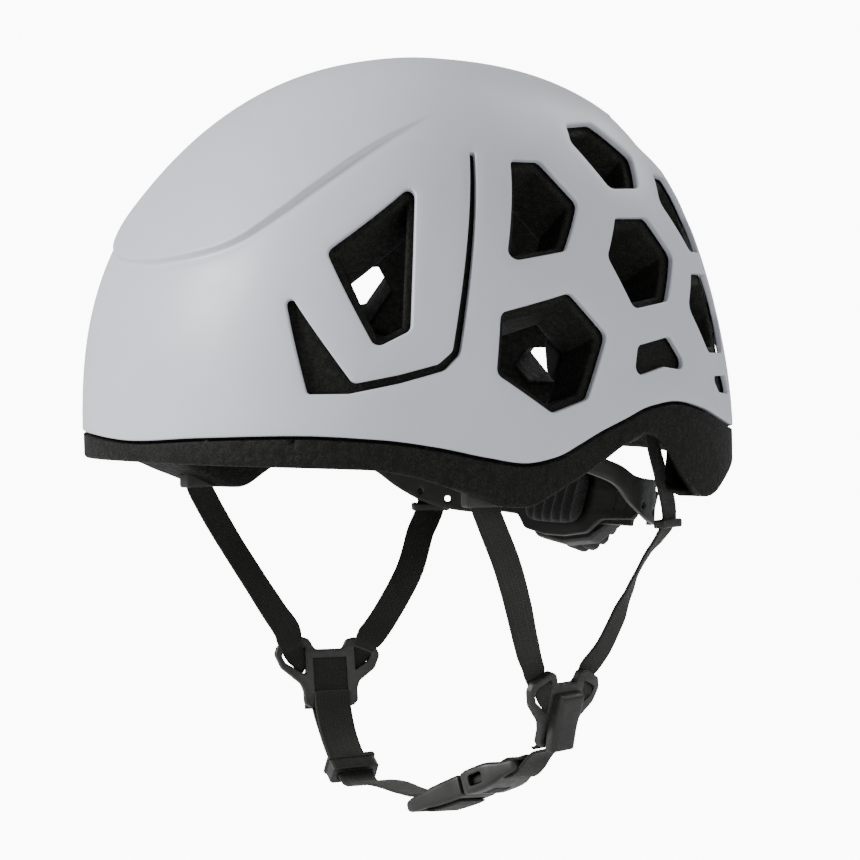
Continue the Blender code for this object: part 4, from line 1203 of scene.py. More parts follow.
def build_right_chin_strap():
    """Tail outside, over the divider's bar, through the adjuster, under the jaw to the plug."""
    middle = vec(-66.6, 12.3, -247.4)
    out = unit(ADJUSTER_OUT + mirror(DIVIDER_OUT, -1))
    halfway = RIGHT_U * 0.5 + ADJUSTER_X * 0.5
    level = vec(0.05, 0.99, 0)

    def by_adjuster(down, away):
        return ADJUSTER_TOP + ADJUSTER_DOWN * down + ADJUSTER_OUT * away

    path = [(by_adjuster(14.8, 1.2), ADJUSTER_X), (by_adjuster(10.0, 0.9), ADJUSTER_X),
            (by_adjuster(3.0, 0.7), ADJUSTER_X), (middle + out * 0.75, halfway)]
    path += mirror_path(low_fold(), -1)
    path += [(middle - out * 0.7, halfway),
             (by_adjuster(3.0, -0.7), ADJUSTER_X), (by_adjuster(10.5, -0.8), ADJUSTER_X),
             (by_adjuster(16.9, -0.6), (0.25, 0.96, 0)), ((-41.6, 7.4, -264.9), (0.2, 0.97, 0)),
             ((-33.8, 6.0, -263.0), (0.15, 0.98, 0)), ((-19.3, 4.0, -261.7), (0.1, 0.98, 0)),
             ((-3.8, 1.8, -262.2), BUCKLE_B * 0.4 + level * 0.6),
             ((4.8, 0.4, -262.3), BUCKLE_B * 0.7 + level * 0.3)]
    # (a, n) round the plug's bar
    plug_turn = [(-26.2, -3.7), (-24.2, -3.1), (-22.9, -1.3), (-22.1, 1.2), (-21.2, 3.2),
                 (-19.0, 4.4), (-15.0, 4.8), (-10.0, 5.1), (-3.5, 5.2)]
    path += [(on_buckle(a, 0, n), BUCKLE_B) for a, n in plug_turn]
    strap = webbing("chin_strap_right_webbing", path, CHIN_WIDTH, rows=(16.8, 28.8, -2.6))
    keep_blend(strap, "chin", "plug", (-30, 3.5, -267), (6, 0, -266), "webbing",
               "chin_strap_right")


def build_strap_adjuster():
    middle = (ADJUSTER_TOP + ADJUSTER_LOW) / 2 - ADJUSTER_DOWN * 0.5
    outline = [(-10.4, -3.6), (-9.0, -4.3), (9.0, -4.3), (10.4, -3.6),
               (10.4, 3.6), (9.0, 4.3), (-9.0, 4.3), (-10.4, 3.6)]
    body = plate("strap_adjuster_body", corner_loop(outline, 0.6),
                 [hole_loop(rectangle(-8.5, -2.5, 8.5, 2.5), 0.7)], 8.0,
                 middle, ADJUSTER_X, ADJUSTER_OUT, bevel=0.55)
    rib_centre = middle + unit(np.cross(ADJUSTER_X, ADJUSTER_OUT)) * 2.9
    rib = plate("rib", corner_loop(rectangle(-10.9, -4.9, 10.9, 4.9), 1.6),
                [hole_loop(rectangle(-8.9, -2.9, 8.9, 2.9), 0.7)], 1.8,
                rib_centre, ADJUSTER_X, ADJUSTER_OUT, bevel=0.6)
    fuse(body, rib)
    keep(body, "adjuster", "plastic", "strap_adjuster")


build_left_chin_strap()
build_right_chin_strap()
build_strap_adjuster()

# ------------------------------------------------------------------ buckle
# (a, half width, lower n, upper n, corner radius)
# the socket is fullest at the release window and narrows to the webbing's bar
SOCKET_SECTIONS = [
    (2.0, 10.6, -3.9, 3.9, 1.2), (2.5, 11.3, -4.4, 4.4, 1.6), (4.5, 11.9, -4.8, 4.8, 1.9),
    (8.0, 11.6, -5.0, 5.0, 2.0), (11.5, 11.6, -5.0, 5.0, 2.0), (14.5, 11.9, -4.8, 4.8, 1.9),
    (17.5, 11.3, -4.3, 4.3, 1.7), (20.0, 10.5, -3.4, 3.4, 1.5), (23.0, 10.4, -2.9, 2.9, 1.5),
    (27.0, 10.2, -2.4, 2.4, 1.4), (28.4, 9.7, -1.9, 1.9, 1.2), (28.9, 9.0, -1.2, 1.2, 0.8)]
GRIP_SECTIONS = [
    (-29.6, 8.2, -1.3, 1.3, 0.9), (-29.2, 9.4, -2.0, 2.0, 1.4), (-28.0, 10.2, -2.5, 2.5, 1.8),
    (-26.0, 10.6, -2.9, 2.9, 1.9), (-23.0, 10.8, -3.1, 3.1, 1.9), (-19.5, 11.0, -3.3, 3.3, 1.9),
    (-15.0, 10.9, -4.0, 4.0, 2.0), (-9.0, 10.5, -4.4, 4.4, 2.1), (-4.0, 10.7, -4.5, 4.5, 2.1),
    (-0.6, 11.2, -4.4, 4.4, 1.9), (0.6, 11.0, -4.1, 4.1, 1.6), (1.1, 10.2, -3.5, 3.5, 1.2)]
# (a, b) of one spring prong and half of the guide tongue
HALF_PRONGS = [(-4, -8.8), (1, -9.2), (12.2, -9.2), (13.4, -7.6), (13.4, -6.3), (4.6, -6.5),
               (3.2, -2.9), (13.8, -2.5), (14.6, -1.2)]


def buckle_box(name, a, b, n, bevel, seg=3):
    """Box between (low, high) limits along the buckle's axes."""
    spans = (a, b, n)
    return box(name, [high - low for low, high in spans],
               on_buckle(*[(low + high) / 2 for low, high in spans]),
               BUCKLE_A, BUCKLE_B, bevel, seg)


def buckle_section(a, half_b, n0, n1, r, steps=5):
    """Rounded rectangle across the buckle at station a."""
    points = []
    half_n, mid_n = (n1 - n0) / 2, (n0 + n1) / 2
    r = min(r, half_b - 0.05, half_n - 0.05)
    for sign_b, sign_n, start in ((1, 1, 0), (-1, 1, 90), (-1, -1, 180), (1, -1, 270)):
        for i in range(steps + 1):
            t = math.radians(start + 90.0 * i / steps)
            points.append(on_buckle(a, sign_b * (half_b - r) + r * math.cos(t),
                                    mid_n + sign_n * (half_n - r) + r * math.sin(t)))
    return np.array(points)


def build_socket():
    socket = loft("buckle_socket_body", [buckle_section(*s) for s in SOCKET_SECTIONS])
    combine(socket, [
        buckle_box("mouth", (-4.0, 15.3), (-9.9, 9.9), (-2.75, 2.75), bevel=0.5),
        buckle_box("side_windows", (6.2, 13.2), (-20, 20), (-2.3, 2.3), bevel=1.2),
        buckle_box("strap_slot", (20.4, 24.4), (-8.7, 8.7), (-12, 12), bevel=0.9),
        buckle_box("button_well", (5.6, 13.6), (-5.2, 5.2), (3.9, 9.0), bevel=1.0),
    ], operation='DIFFERENCE')
    button = buckle_box("buckle_socket_button", (6.4, 12.8), (-4.5, 4.5), (1.5, 4.7),
                        bevel=0.9, seg=4)
    combine(button, [buckle_box("ridge", (7.6 + 1.5 * i, 8.3 + 1.5 * i), (-3.4, 3.4), (4.2, 5.1),
                                bevel=0.3, seg=2) for i in range(3)])
    keep(socket, "chin", "plastic", "buckle_socket")
    keep(button, "chin", "plastic")


def build_plug():
    """Grip over the webbing's bar, two spring prongs and a guide tongue."""
    prongs = HALF_PRONGS + [(a, -b) for a, b in reversed(HALF_PRONGS)]
    plug = plate("buckle_plug_body", corner_loop(prongs, 0.7), [], 3.6, BUCKLE,
                 BUCKLE_A, BUCKLE_B, bevel=0.7)
    grip = loft("grip", [buckle_section(*s) for s in GRIP_SECTIONS])
    combine(grip, [
        buckle_box("strap_slot", (-24.6, -20.2), (-8.7, 8.7), (-12, 12), bevel=0.9),
        buckle_box("upper_recess", (-14.5, -2.5), (-7.2, 7.2), (3.4, 9.0), bevel=0.9),
        buckle_box("lower_recess", (-14.5, -2.5), (-7.2, 7.2), (-9.0, -3.4), bevel=0.9),
    ], operation='DIFFERENCE')
    combine(plug, [grip])
    combine(plug, [buckle_box("rib", (-12.9 + 2.9 * i, -11.6 + 2.9 * i), (-6.6, 6.6),
                              sorted((face * 2.6, face * 4.1)), bevel=0.35, seg=2)
                   for i in range(4) for face in (1, -1)])
    keep(plug, "plug", "plastic", "buckle_plug")


build_socket()
build_plug()

# ------------------------------------------------------------------ headband
# (x, y, z, height) along the left band, from the temple to the rear
ARM = [(79.5, -41, -111, 12), (80.5, -30, -112, 13), (81, -18, -115, 9), (81, 5, -121, 7.5),
       (80.0, 24, -127.2, 7.5), (78.2, 42, -132.8, 8), (75.0, 52.2, -138.6, 11),
       (72.6, 59.2, -141.4, 14), (69.3, 65.6, -143.4, 16.5), (64.2, 73.4, -145.0, 18),
       (55.5, 80, -146, 18), (52.6, 81.1, -146.1, 18)]
ARM_UP = (0, 0.06, 1)
ARM_WALL = 1.9
ARM_START = 3.0                  # where the rounded nose ends and the band begins
ARM_SUB = 10
CRADLE = vec(0, 81.0, -146.0)
CRADLE_LEAN = math.radians(18.0)
REAR_UP = vec(0, math.sin(CRADLE_LEAN), math.cos(CRADLE_LEAN))
REAR_OUT = vec(0, math.cos(CRADLE_LEAN), -math.sin(CRADLE_LEAN))


def at_rear(out, x=0.0, up=0.0):
    return CRADLE + REAR_OUT * out + vec(x, 0, 0) + REAR_UP * up


def arm_loops(travel):
    """Outline and holes of the unrolled band, as (distance along, height)."""
    length = travel[-1]
    at = np.linspace(0, length, 200)
    raw = np.interp(at, travel[::ARM_SUB], [p[3] for p in ARM])
    soft = np.convolve(np.pad(raw, 8, mode='edge'), np.ones(17) / 17, mode='valid')

    def half_height(q):
        return 0.5 * float(np.interp(q, at, soft))

    top = [(q, half_height(q)) for q in np.linspace(ARM_START, length - 0.5, 110)]
    low = [(q, -half_height(q)) for q in np.linspace(length - 0.5, ARM_START, 110)]
    h0 = half_height(ARM_START)
    nose = [(ARM_START - h0 * 0.55 * math.cos(t), h0 * math.sin(t))
            for t in np.linspace(-math.pi / 2, math.pi / 2, 13)[1:-1]]
    holes = [circle(10.5, 0.0, 3.3, 25)]
    for q, h in ((length - 29.0, -3.6), (length - 17.0, -4.4), (length - 76.0, 0.0),
                 (length - 88.0, 0.0)):
        holes.append(circle(q, h, 1.25, 14))
    return np.array((low + nose + top)[::-1]), holes


def arm_triangles(outline, holes, length):
    points, edges = [], []
    for loop in [outline] + holes:
        start, n = len(points), len(loop)
        points += [tuple(p) for p in loop]
        edges += [(start + i, start + (i + 1) % n) for i in range(n)]
    grid = np.array([(q, h) for q in np.arange(-2.0, length, 2.0)
                     for h in np.arange(-9.6, 9.7, 1.6)])
    used = in_region(grid, outline, holes) & ~near_polygon(grid, outline, 0.9)
    for hole in holes:
        used &= ~near_polygon(grid, hole, 0.8)
    points += [tuple(p) for p in grid[used]]
    found, _, faces, _, _, _ = delaunay_2d_cdt([Vector(p) for p in points], edges, [], 0, 1e-5)
    flat = np.array([(p.x, p.y) for p in found])
    triangles = np.array([f for f in faces if len(f) == 3])
    triangles = triangles[in_region(flat[triangles].mean(axis=1), outline, holes)]
    kept = np.unique(triangles)
    number = -np.ones(len(flat), int)
    number[kept] = np.arange(len(kept))
    return flat[kept], number[triangles]


def border_edges(triangles):
    count = {}
    for a, b, c in triangles:
        for e in ((a, b), (b, c), (c, a)):
            key = (min(e), max(e))
            count[key] = count.get(key, 0) + 1
    return [key for key, c in count.items() if c == 1]


def inward_directions(flat, edges, outline, holes):
    """For each border point, the direction into the material; zero elsewhere."""
    neighbours = {}
    for a, b in edges:
        neighbours.setdefault(a, []).append(b)
        neighbours.setdefault(b, []).append(a)
    inward = np.zeros((len(flat), 2))
    for i, near in neighbours.items():
        d = flat[near[0]] - flat[near[1]]
        d = d / max(np.linalg.norm(d), 1e-9)
        n = vec(-d[1], d[0])
        probe = flat[i] + n * 0.25
        inward[i] = n if in_region(probe[None], outline, holes)[0] else -n
    return inward


def arm_band(name, sign):
    """Curved moulded band with rounded edges, a large hole by its nose and a few small ones."""
    line, _ = dense_path([(mirror(p[:3], sign), ARM_UP) for p in ARM], ARM_SUB)
    travel = travelled(line)
    tangents = unit_rows(np.gradient(line, travel, axis=0))
    outline, holes = arm_loops(travel)
    flat, triangles = arm_triangles(outline, holes, travel[-1])

    # wrap the flat pattern along the band
    q, h = flat[:, 0], flat[:, 1]
    clipped = np.clip(q, 0, travel[-1])
    tangent = resample(clipped, travel, tangents)
    centre = resample(clipped, travel, line) + tangent * (q - clipped)[:, None]
    up = square_to(np.tile(unit(ARM_UP), (len(q), 1)), tangent)
    normal = np.cross(tangent, up)
    normal *= np.where(normal[:, :1] * sign < 0, -1, 1)
    points = centre + up * h[:, None]

    # two faces, and three rows between them that round the edge
    edges = border_edges(triangles)
    inward = inward_directions(flat, edges, outline, holes)
    pull_dir = tangent * inward[:, :1] + up * inward[:, 1:]
    border = np.nonzero(np.linalg.norm(inward, axis=1) > 0.5)[0]
    half = ARM_WALL / 2
    sheets = [points + normal * w + pull_dir * pull for w, pull in
              ((half, 0.45), (half - 0.16, 0.12), (0.0, 0.0), (-half + 0.16, 0.12), (-half, 0.45))]
    verts = list(sheets[0]) + list(sheets[4])
    n = len(points)
    faces = [tuple(t) for t in triangles] + [tuple(t + n)[::-1] for t in triangles]
    index = {}
    for layer in (1, 2, 3):
        for i in border:
            index[layer, i] = len(verts)
            verts.append(sheets[layer][i])
    for i in border:
        index[0, i] = i
        index[4, i] = i + n
    for a, b in edges:
        for layer in range(4):
            faces.append((index[layer, a], index[layer, b],
                          index[layer + 1, b], index[layer + 1, a]))
    return from_faces(name, verts, faces, sharp=40)


def build_arm(sign, side):
    keep(arm_band("headband_arm_%s_band" % side, sign), "headband", "plastic",
         "headband_arm_" + side)
    # narrow neck that carries the band on to the cradle, clear of that side's rack
    neck = box("headband_arm_%s_neck" % side, (10.4, 8.8, 1.7),
               at_rear(0.6, x=51.3 * sign, up=0.6 * sign), vec(1, 0, 0), REAR_UP, 0.6)
    keep(neck, "headband", "plastic")


def build_temple_pin(sign, side):
    outline = [(0, 1.7), (2.4, 1.7), (2.9, 1.4), (3.0, 1.0), (3.0, -1.3), (5.2, -1.4),
               (5.6, -1.8), (5.5, -2.3), (4.8, -2.9), (3.2, -3.1), (2.8, -2.7), (1.0, -2.6),
               (0, -2.6)]
    pin = lathe("temple_pin_%s_snap" % side, outline, mirror((80.2, -30, -112), sign),
                (sign, 0, 0), ref=(0, 0, 1), steps=40)
    keep(pin, "helmet", "plastic", "temple_pin_" + side)


def build_anchors(sign, side):
    """Slotted blocks where the straps enter the liner."""
    for prefix, place, along in (("front_anchor_", (96.4, -39.0, -137.0), (.16, .987, 0)),
                                 ("rear_anchor_", (83.6, 53.6, -108), (-.5, .866, 0))):
        place, along = mirror(place, sign), mirror(along, sign)
        through = np.cross((0, 0, 1), along)
        block = box(prefix + side + "_plug", (16, 6.0, 10.0), place, along, through, 1.1)
        slot = box("slot", (13.0, 1.9, 30.0), place, along, through, 0.5, seg=2)
        combine(block, [slot], operation='DIFFERENCE')
        keep(block, "helmet", "plastic", prefix + side)


def build_cradle():
    outline = [(-48, -7.5), (-27, -8.5), (-20, -14.5), (-6, -16.5),
               (6, -16.5), (20, -14.5), (27, -8.5), (48, -7.5),
               (48, 7.5), (27, 8.5), (20, 14.5), (6, 16.5),
               (-6, 16.5), (-20, 14.5), (-27, 8.5), (-48, 7.5)]
    holes = [hole_loop(rectangle(-9, -3, 9, 3), 2.4)]
    holes += [hole_loop(rectangle(x - 1.4, -4.6, x + 1.4, 4.6), 1.3) for x in (-41, -34, 34, 41)]
    cradle = plate("rear_cradle_plate",
                   corner_loop(outline, [3] + [6] * 6 + [3, 3] + [6] * 6 + [3]),
                   holes, 2.0, at_rear(0), (-1, 0, 0), REAR_UP, bevel=0.55)
    keep(cradle, "headband", "plastic", "rear_cradle")


def build_dial_housing():
    outline = [(-29, -8), (-17, -16.5), (0, -18.6), (17, -16.5), (29, -8),
               (29, 8), (17, 16.5), (0, 18.6), (-17, 16.5), (-29, 8)]
    opening = circle(0, 0, 12.0, 48) * (1, -1)
    housing = plate("dial_housing_shell", corner_loop(outline, [3, 6, 10, 6, 3, 3, 6, 10, 6, 3]),
                    [opening], 6.6, at_rear(7.3), (-1, 0, 0), REAR_UP, bevel=1.5, seg=5)
    keep(housing, "headband", "plastic", "dial_housing")


def knob_radius(angle, r):
    """Eighteen finger lobes round the knob's rim."""
    if r < 14.0:
        return r
    lobe = 0.5 + 0.5 * math.cos(18 * angle)
    dip = 1.9 * (1 - lobe) ** 2.2
    return r - dip * min(1.0, (r - 14.0) / 3.0)


def build_dial():
    outline = [(0, 3.1), (5.0, 3.1), (8.6, 2.9), (9.4, 2.2), (10.2, 2.1), (11.0, 2.9),
               (12.4, 3.9), (14.5, 4.3), (16.6, 4.1), (17.8, 3.6), (18.6, 2.8), (19.0, 1.8),
               (19.05, 0.4), (19.0, -1.6), (18.6, -2.8), (17.6, -3.6), (16.0, -4.0),
               (12.0, -4.0), (6.0, -4.0), (0, -4.0)]
    knob = lathe("adjuster_dial_knob", outline, at_rear(15.4), REAR_OUT, ref=(1, 0, 0),
                 steps=216, radius=knob_radius, sharp=50)
    keep(knob, "dial", "plastic", "adjuster_dial")


for sign, side in SIDES:
    build_arm(sign, side)
    build_temple_pin(sign, side)
    build_anchors(sign, side)
build_cradle()
build_dial_housing()
build_dial()


# ------------------------------------------------------------------ pads
def pillow(name, surface, count_a, count_b, width, length, thick, channels_a=(), channels_b=(),
           corner=0.10, depth=0.75, back=0.25):
    """Crowned, quilted pad. surface(a, b) gives (point, normal towards the head) for a, b in
    -1..1; width and length are full sizes; channels are sewn grooves at constant a or b;
    back is the share of the thickness behind the surface."""
    def spread(n):
        return (np.sin(np.linspace(-math.pi / 2, math.pi / 2, n)) * 0.55
                + np.linspace(-1, 1, n) * 0.45)

    verts, su, sv, index = [], [], [], {}
    for sheet in (0, 1):
        for i, a in enumerate(spread(count_a)):
            for j, b in enumerate(spread(count_b)):
                border = i in (0, count_a - 1) or j in (0, count_b - 1)
                if sheet and border:
                    index[1, i, j] = index[0, i, j]
                    continue
                aa = a * (1 - corner * abs(b) ** 5)
                bb = b * (1 - corner * abs(a) ** 5 * width / max(length, 1))
                point, normal = surface(aa, bb)
                crown = max(0.0, (1 - abs(a) ** 5)) ** 0.5 * max(0.0, (1 - abs(b) ** 5)) ** 0.5
                groove = 1.0
                for c in channels_a:
                    groove *= 1 - depth * math.exp(-((aa - c) * width / 2 / 1.5) ** 2)
                for c in channels_b:
                    groove *= 1 - depth * math.exp(-((bb - c) * length / 2 / 1.5) ** 2)
                h = thick * crown * (-back if sheet else groove * (1 - back))
                if border:
                    h = 0.0
                index[sheet, i, j] = len(verts)
                verts.append(np.asarray(point) + np.asarray(normal) * h)
                su.append(aa * width / 2)
                sv.append(bb * length / 2)
    faces = []
    for sheet in (0, 1):
        for i in range(count_a - 1):
            for j in range(count_b - 1):
                quad = (index[sheet, i, j], index[sheet, i + 1, j],
                        index[sheet, i + 1, j + 1], index[sheet, i, j + 1])
                faces.append(quad[::-1] if sheet else quad)
    return from_faces(name, verts, faces, sharp=None, attributes={"su": su, "sv": sv})


def swell(ob, limit, frames=18):
    """A short cloth run swells the pad; each point moves at most limit mm."""
    rest = np.array([v.co[:] for v in ob.data.vertices])
    scene = bpy.context.scene
    modifier = ob.modifiers.new("cloth", 'CLOTH')
    cloth = modifier.settings
    cloth.use_pressure = True
    cloth.uniform_pressure_force = 3.0
    cloth.effector_weights.gravity = 0.0
    cloth.tension_stiffness = cloth.compression_stiffness = 25
    cloth.shear_stiffness = 8
    cloth.bending_stiffness = 0.8
    cloth.quality = 4
    cloth.mass = 0.15
    modifier.point_cache.frame_start = 1
    modifier.point_cache.frame_end = frames
    for number in range(1, frames + 1):
        scene.frame_set(number)
    result = ob.evaluated_get(bpy.context.evaluated_depsgraph_get())
    now = np.array([v.co[:] for v in result.data.vertices])
    scene.frame_set(1)
    ob.modifiers.clear()
    # a run that breaks down leaves the pad as it was
    if now.shape == rest.shape and np.isfinite(now).all():
        d = now - rest
        d -= d.mean(axis=0)
        moved = np.linalg.norm(d, axis=1, keepdims=True)
        d *= np.minimum(1.0, limit * MM / np.maximum(moved, 1e-9))
        ob.data.vertices.foreach_set("co", (rest + d).ravel())
        ob.data.update()


def puff(ob, limit=0.9):
    swell(ob, limit)
    subdivision = ob.modifiers.new("sub", 'SUBSURF')
    subdivision.levels = subdivision.render_levels = 1
    mesh = evaluated_mesh(ob)
    ob.modifiers.clear()
    ob.data = mesh
    mesh.shade_smooth()
    return ob


def wall_surface(az0, az1, z0, z1, clear):
    """Patch of the cavity wall between azimuths and heights, standing clear of it."""
    def on_wall(az, z):
        phi = math.acos((z - DOME_BASE) / (CAVITY_TOP - DOME_BASE))
        return cavity(vec(az), vec(phi))[0]

    def surface(a, b):
        az = (az0 + az1) / 2 + (az1 - az0) / 2 * a
        z = (z0 + z1) / 2 + (z1 - z0) / 2 * b
        p = on_wall(az, z)
        n = unit(np.cross(on_wall(az + 0.5, z) - p, on_wall(az, z + 0.5) - p))
        if n @ vec(p[0], p[1], 0) > 0:
            n = -n
        return p + n * clear, n
    return surface


def build_brow_pad():
    count_a, count_b = ((72, 18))
    pad = pillow("brow_pad_cushion", wall_surface(-38, 38, -118, -98, 1.4), count_a, count_b,
                 width=146, length=20, thick=6.0, channels_a=(-0.62, -0.22, 0.22, 0.62),
                 corner=0.04)
    keep(puff(pad), "helmet", "pad", "brow_pad")


def build_side_pads():
    for side, az0, az1 in (("left", 92, 122), ("right", 238, 268)):
        pad = pillow("side_pad_%s_cushion" % side, wall_surface(az0, az1, -98, -76, 1.6), 26, 18,
                     width=46, length=22, thick=5.4, channels_a=(0.0,))
        keep(puff(pad), "helmet", "pad", "side_pad_" + side)


def build_crown_pad():
    width, length = 54, 72

    def surface(a, b):
        """An oval patch under the top of the cavity."""
        r = max(abs(a), abs(b))
        k = r / math.hypot(a, b) if r >= 1e-9 else 0.0
        x, y = width / 2 * (a * k), length / 2 * (b * k)
        rr = plan_norm(x, y, CAVITY_HALF_WIDTH, CAVITY_FRONT)
        fall = (1 - rr ** CAVITY_POWER) ** (1 / CAVITY_POWER)
        top = DOME_BASE + (CAVITY_TOP - DOME_BASE) * fall
        return vec(x, y, top - 1.9), vec(0, 0, -1)

    pad = pillow("crown_pad_cushion", surface, 30, 36, width, length, thick=6.4,
                 channels_b=(-0.34, 0.34), corner=0.0, back=0.12, depth=0.6)
    points = np.array([v.co[:] for v in pad.data.vertices])
    points[:, 2] = np.maximum(points[:, 2], 0.0)     # nothing hangs below z = 0
    pad.data.vertices.foreach_set("co", points.ravel())
    keep(puff(pad, limit=0.5), "helmet", "pad", "crown_pad")


def build_nape_pad():
    pad = pillow("nape_pad_cushion",
                 lambda a, b: (at_rear(-3.6, x=-18.0 * a, up=12.0 * b), -REAR_OUT), 40, 22,
                 width=36, length=24, thick=4.8, channels_a=(-0.66, -0.33, 0.0, 0.33, 0.66),
                 corner=0.12)
    keep(puff(pad, limit=0.4), "headband", "pad", "nape_pad")


build_brow_pad()
build_side_pads()
build_crown_pad()
build_nape_pad()


# ------------------------------------------------------------------ materials
class Nodes:
    """Adds and links nodes in a tree."""

    def __init__(self, tree):
        self.tree = tree

    def node(self, kind, **settings):
        n = self.tree.nodes.new(kind)
        for key, value in settings.items():
            setattr(n, key, value)
        return n

    def feed(self, socket, value):
        """Give a socket a colour, a number or a link."""
        if isinstance(value, tuple):
            socket.default_value = (*value, 1)
        elif isinstance(value, (int, float)):
            socket.default_value = value
        else:
            self.tree.links.new(value, socket)

    def maths(self, operation, *values):
        n = self.node("ShaderNodeMath", operation=operation)
        for socket, value in zip(n.inputs, values):
            self.feed(socket, value)
        return n.outputs[0]


class Surface(Nodes):
    """A Principled material. Textures use object position, so they need no UV map."""

    def __init__(self, name):
        self.material = bpy.data.materials.new(name)
        self.material.use_nodes = True
        super().__init__(self.material.node_tree)
        self.place = self.node("ShaderNodeTexCoord").outputs["Object"]

    def noise(self, scale, detail=3.0, roughness=0.55):
        n = self.node("ShaderNodeTexNoise")
        n.inputs["Scale"].default_value = scale
        n.inputs["Detail"].default_value = detail
        n.inputs["Roughness"].default_value = roughness
        self.feed(n.inputs["Vector"], self.place)
        return n.outputs["Fac"]

    def remap(self, value, source, target):
        """Carry the source range to the target range, clamped."""
        n = self.node("ShaderNodeMapRange", clamp=True)
        for socket, x in zip(n.inputs, (value, *source, *target)):
            self.feed(socket, x)
        return n.outputs[0]

    def mix(self, factor, first, second):
        n = self.node("ShaderNodeMix", data_type='RGBA')
        for i, value in ((0, factor), (6, first), (7, second)):
            self.feed(n.inputs[i], value)
        return n.outputs[2]

    def bump(self, height, strength, distance, under=None):
        n = self.node("ShaderNodeBump")
        n.inputs["Strength"].default_value = strength
        n.inputs["Distance"].default_value = distance
        self.feed(n.inputs["Height"], height)
        if under is not None:
            self.feed(n.inputs["Normal"], under)
        return n.outputs[0]

    def attribute(self, name):
        return self.node("ShaderNodeAttribute", attribute_name=name).outputs["Fac"]

    def edge_wear_and_highlight(self, source=(0.515, 0.60)):
        # mask of convex edges: on the shell it is partly painted highlight, on the plastic edge wear
        pointiness = self.node("ShaderNodeNewGeometry").outputs["Pointiness"]
        return self.remap(pointiness, source, target=(0.0, 1.0))

    def finish(self, inputs):
        shader = self.tree.nodes["Principled BSDF"]
        for key, value in inputs.items():
            self.feed(shader.inputs[key], value)
        return self.material


def shell_material():
    """Satin grey paint with a little dust, and pale edges that are partly edge wear and partly
    painted highlight.
    """
    s = Surface("shell_satin_paint")
    tone = s.noise(scale=9.0, detail=2.0)
    fine = s.noise(scale=260.0, detail=2.0)
    paint_dark, paint_light = (0.462, 0.482, 0.524), (0.486, 0.505, 0.546)
    dust_colour, edge_wear_and_highlight_colour = (0.40, 0.41, 0.43), (0.66, 0.68, 0.70)
    colour = s.mix(s.remap(tone, source=(0.35, 0.65), target=(0, 1)), paint_dark, paint_light)
    dust = s.remap(s.noise(scale=34.0, detail=6.0, roughness=0.7),
                   source=(0.52, 0.80), target=(0.0, 0.10))
    colour = s.mix(dust, colour, dust_colour)
    # paler convex edges: partly edge wear, partly painted highlight where the rounded edges catch
    # the light
    edge_wear_and_highlight_share = s.maths('MULTIPLY', s.edge_wear_and_highlight(source=(0.54, 0.66)), 0.35)
    colour = s.mix(edge_wear_and_highlight_share, colour, edge_wear_and_highlight_colour)
    roughness = s.remap(s.noise(scale=60.0, detail=4.0), source=(0.3, 0.7), target=(0.40, 0.50))
    orange_peel = s.bump(fine, strength=0.10, distance=0.0004)
    grain = s.bump(s.noise(scale=900.0, detail=2.0), strength=0.05, distance=0.0002,
                   under=orange_peel)
    return s.finish({"Base Color": colour, "Roughness": roughness, "Specular IOR Level": 0.42,
                     "Coat Weight": 0.12, "Coat Roughness": 0.32, "Normal": grain})


def foam_material():
    """Black moulded beads with a mottled skin."""
    s = Surface("foam_beads")
    cells = s.node("ShaderNodeTexVoronoi", feature='F1')
    cells.inputs["Scale"].default_value = 330.0
    cells.inputs["Randomness"].default_value = 0.95
    s.feed(cells.inputs["Vector"], s.place)
    bead = s.remap(cells.outputs["Distance"], source=(0.15, 0.75), target=(1.0, 0.0))
    channels = s.node("ShaderNodeSeparateColor")
    s.feed(channels.inputs[0], cells.outputs["Color"])
    grain = s.noise(scale=1500.0, detail=3.0, roughness=0.7)
    dark, light = (0.0022, 0.0022, 0.0016), (0.0150, 0.0150, 0.0118)
    bead_tint, seam = (0.0085, 0.0085, 0.0068), (0.0018, 0.0018, 0.0014)
    colour = s.mix(s.remap(grain, source=(0.42, 0.66), target=(0.0, 1.0)), dark, light)
    colour = s.mix(s.maths('MULTIPLY', channels.outputs[0], 0.45), colour, bead_tint)
    colour = s.mix(s.remap(bead, source=(0.0, 0.35), target=(0.55, 0.0)), colour, seam)
    roughness = s.remap(grain, source=(0.3, 0.7), target=(0.78, 0.52))
    beads = s.bump(bead, strength=0.45, distance=0.0006)
    return s.finish({"Base Color": colour, "Roughness": roughness, "Specular IOR Level": 0.13,
                     "Normal": s.bump(grain, strength=0.70, distance=0.00035, under=beads)})


def plastic_material():
    """Black moulded plastic with fine grain and worn edges."""
    s = Surface("moulded_plastic")
    tone = s.noise(scale=40.0, detail=2.0)
    grain = s.noise(scale=2400.0, detail=2.0, roughness=0.6)
    dark, light = (0.0100, 0.0100, 0.0086), (0.0140, 0.0140, 0.0120)
    worn = (0.040, 0.040, 0.035)
    colour = s.mix(s.remap(tone, source=(0.35, 0.65), target=(0, 1)), dark, light)
    colour = s.mix(s.maths('MULTIPLY', s.edge_wear_and_highlight(), 0.5), colour, worn)
    roughness = s.remap(s.noise(scale=300.0), source=(0.3, 0.7), target=(0.40, 0.54))
    return s.finish({"Base Color": colour, "Roughness": roughness, "Specular IOR Level": 0.34,
                     "Normal": s.bump(grain, strength=0.22, distance=0.00012)})


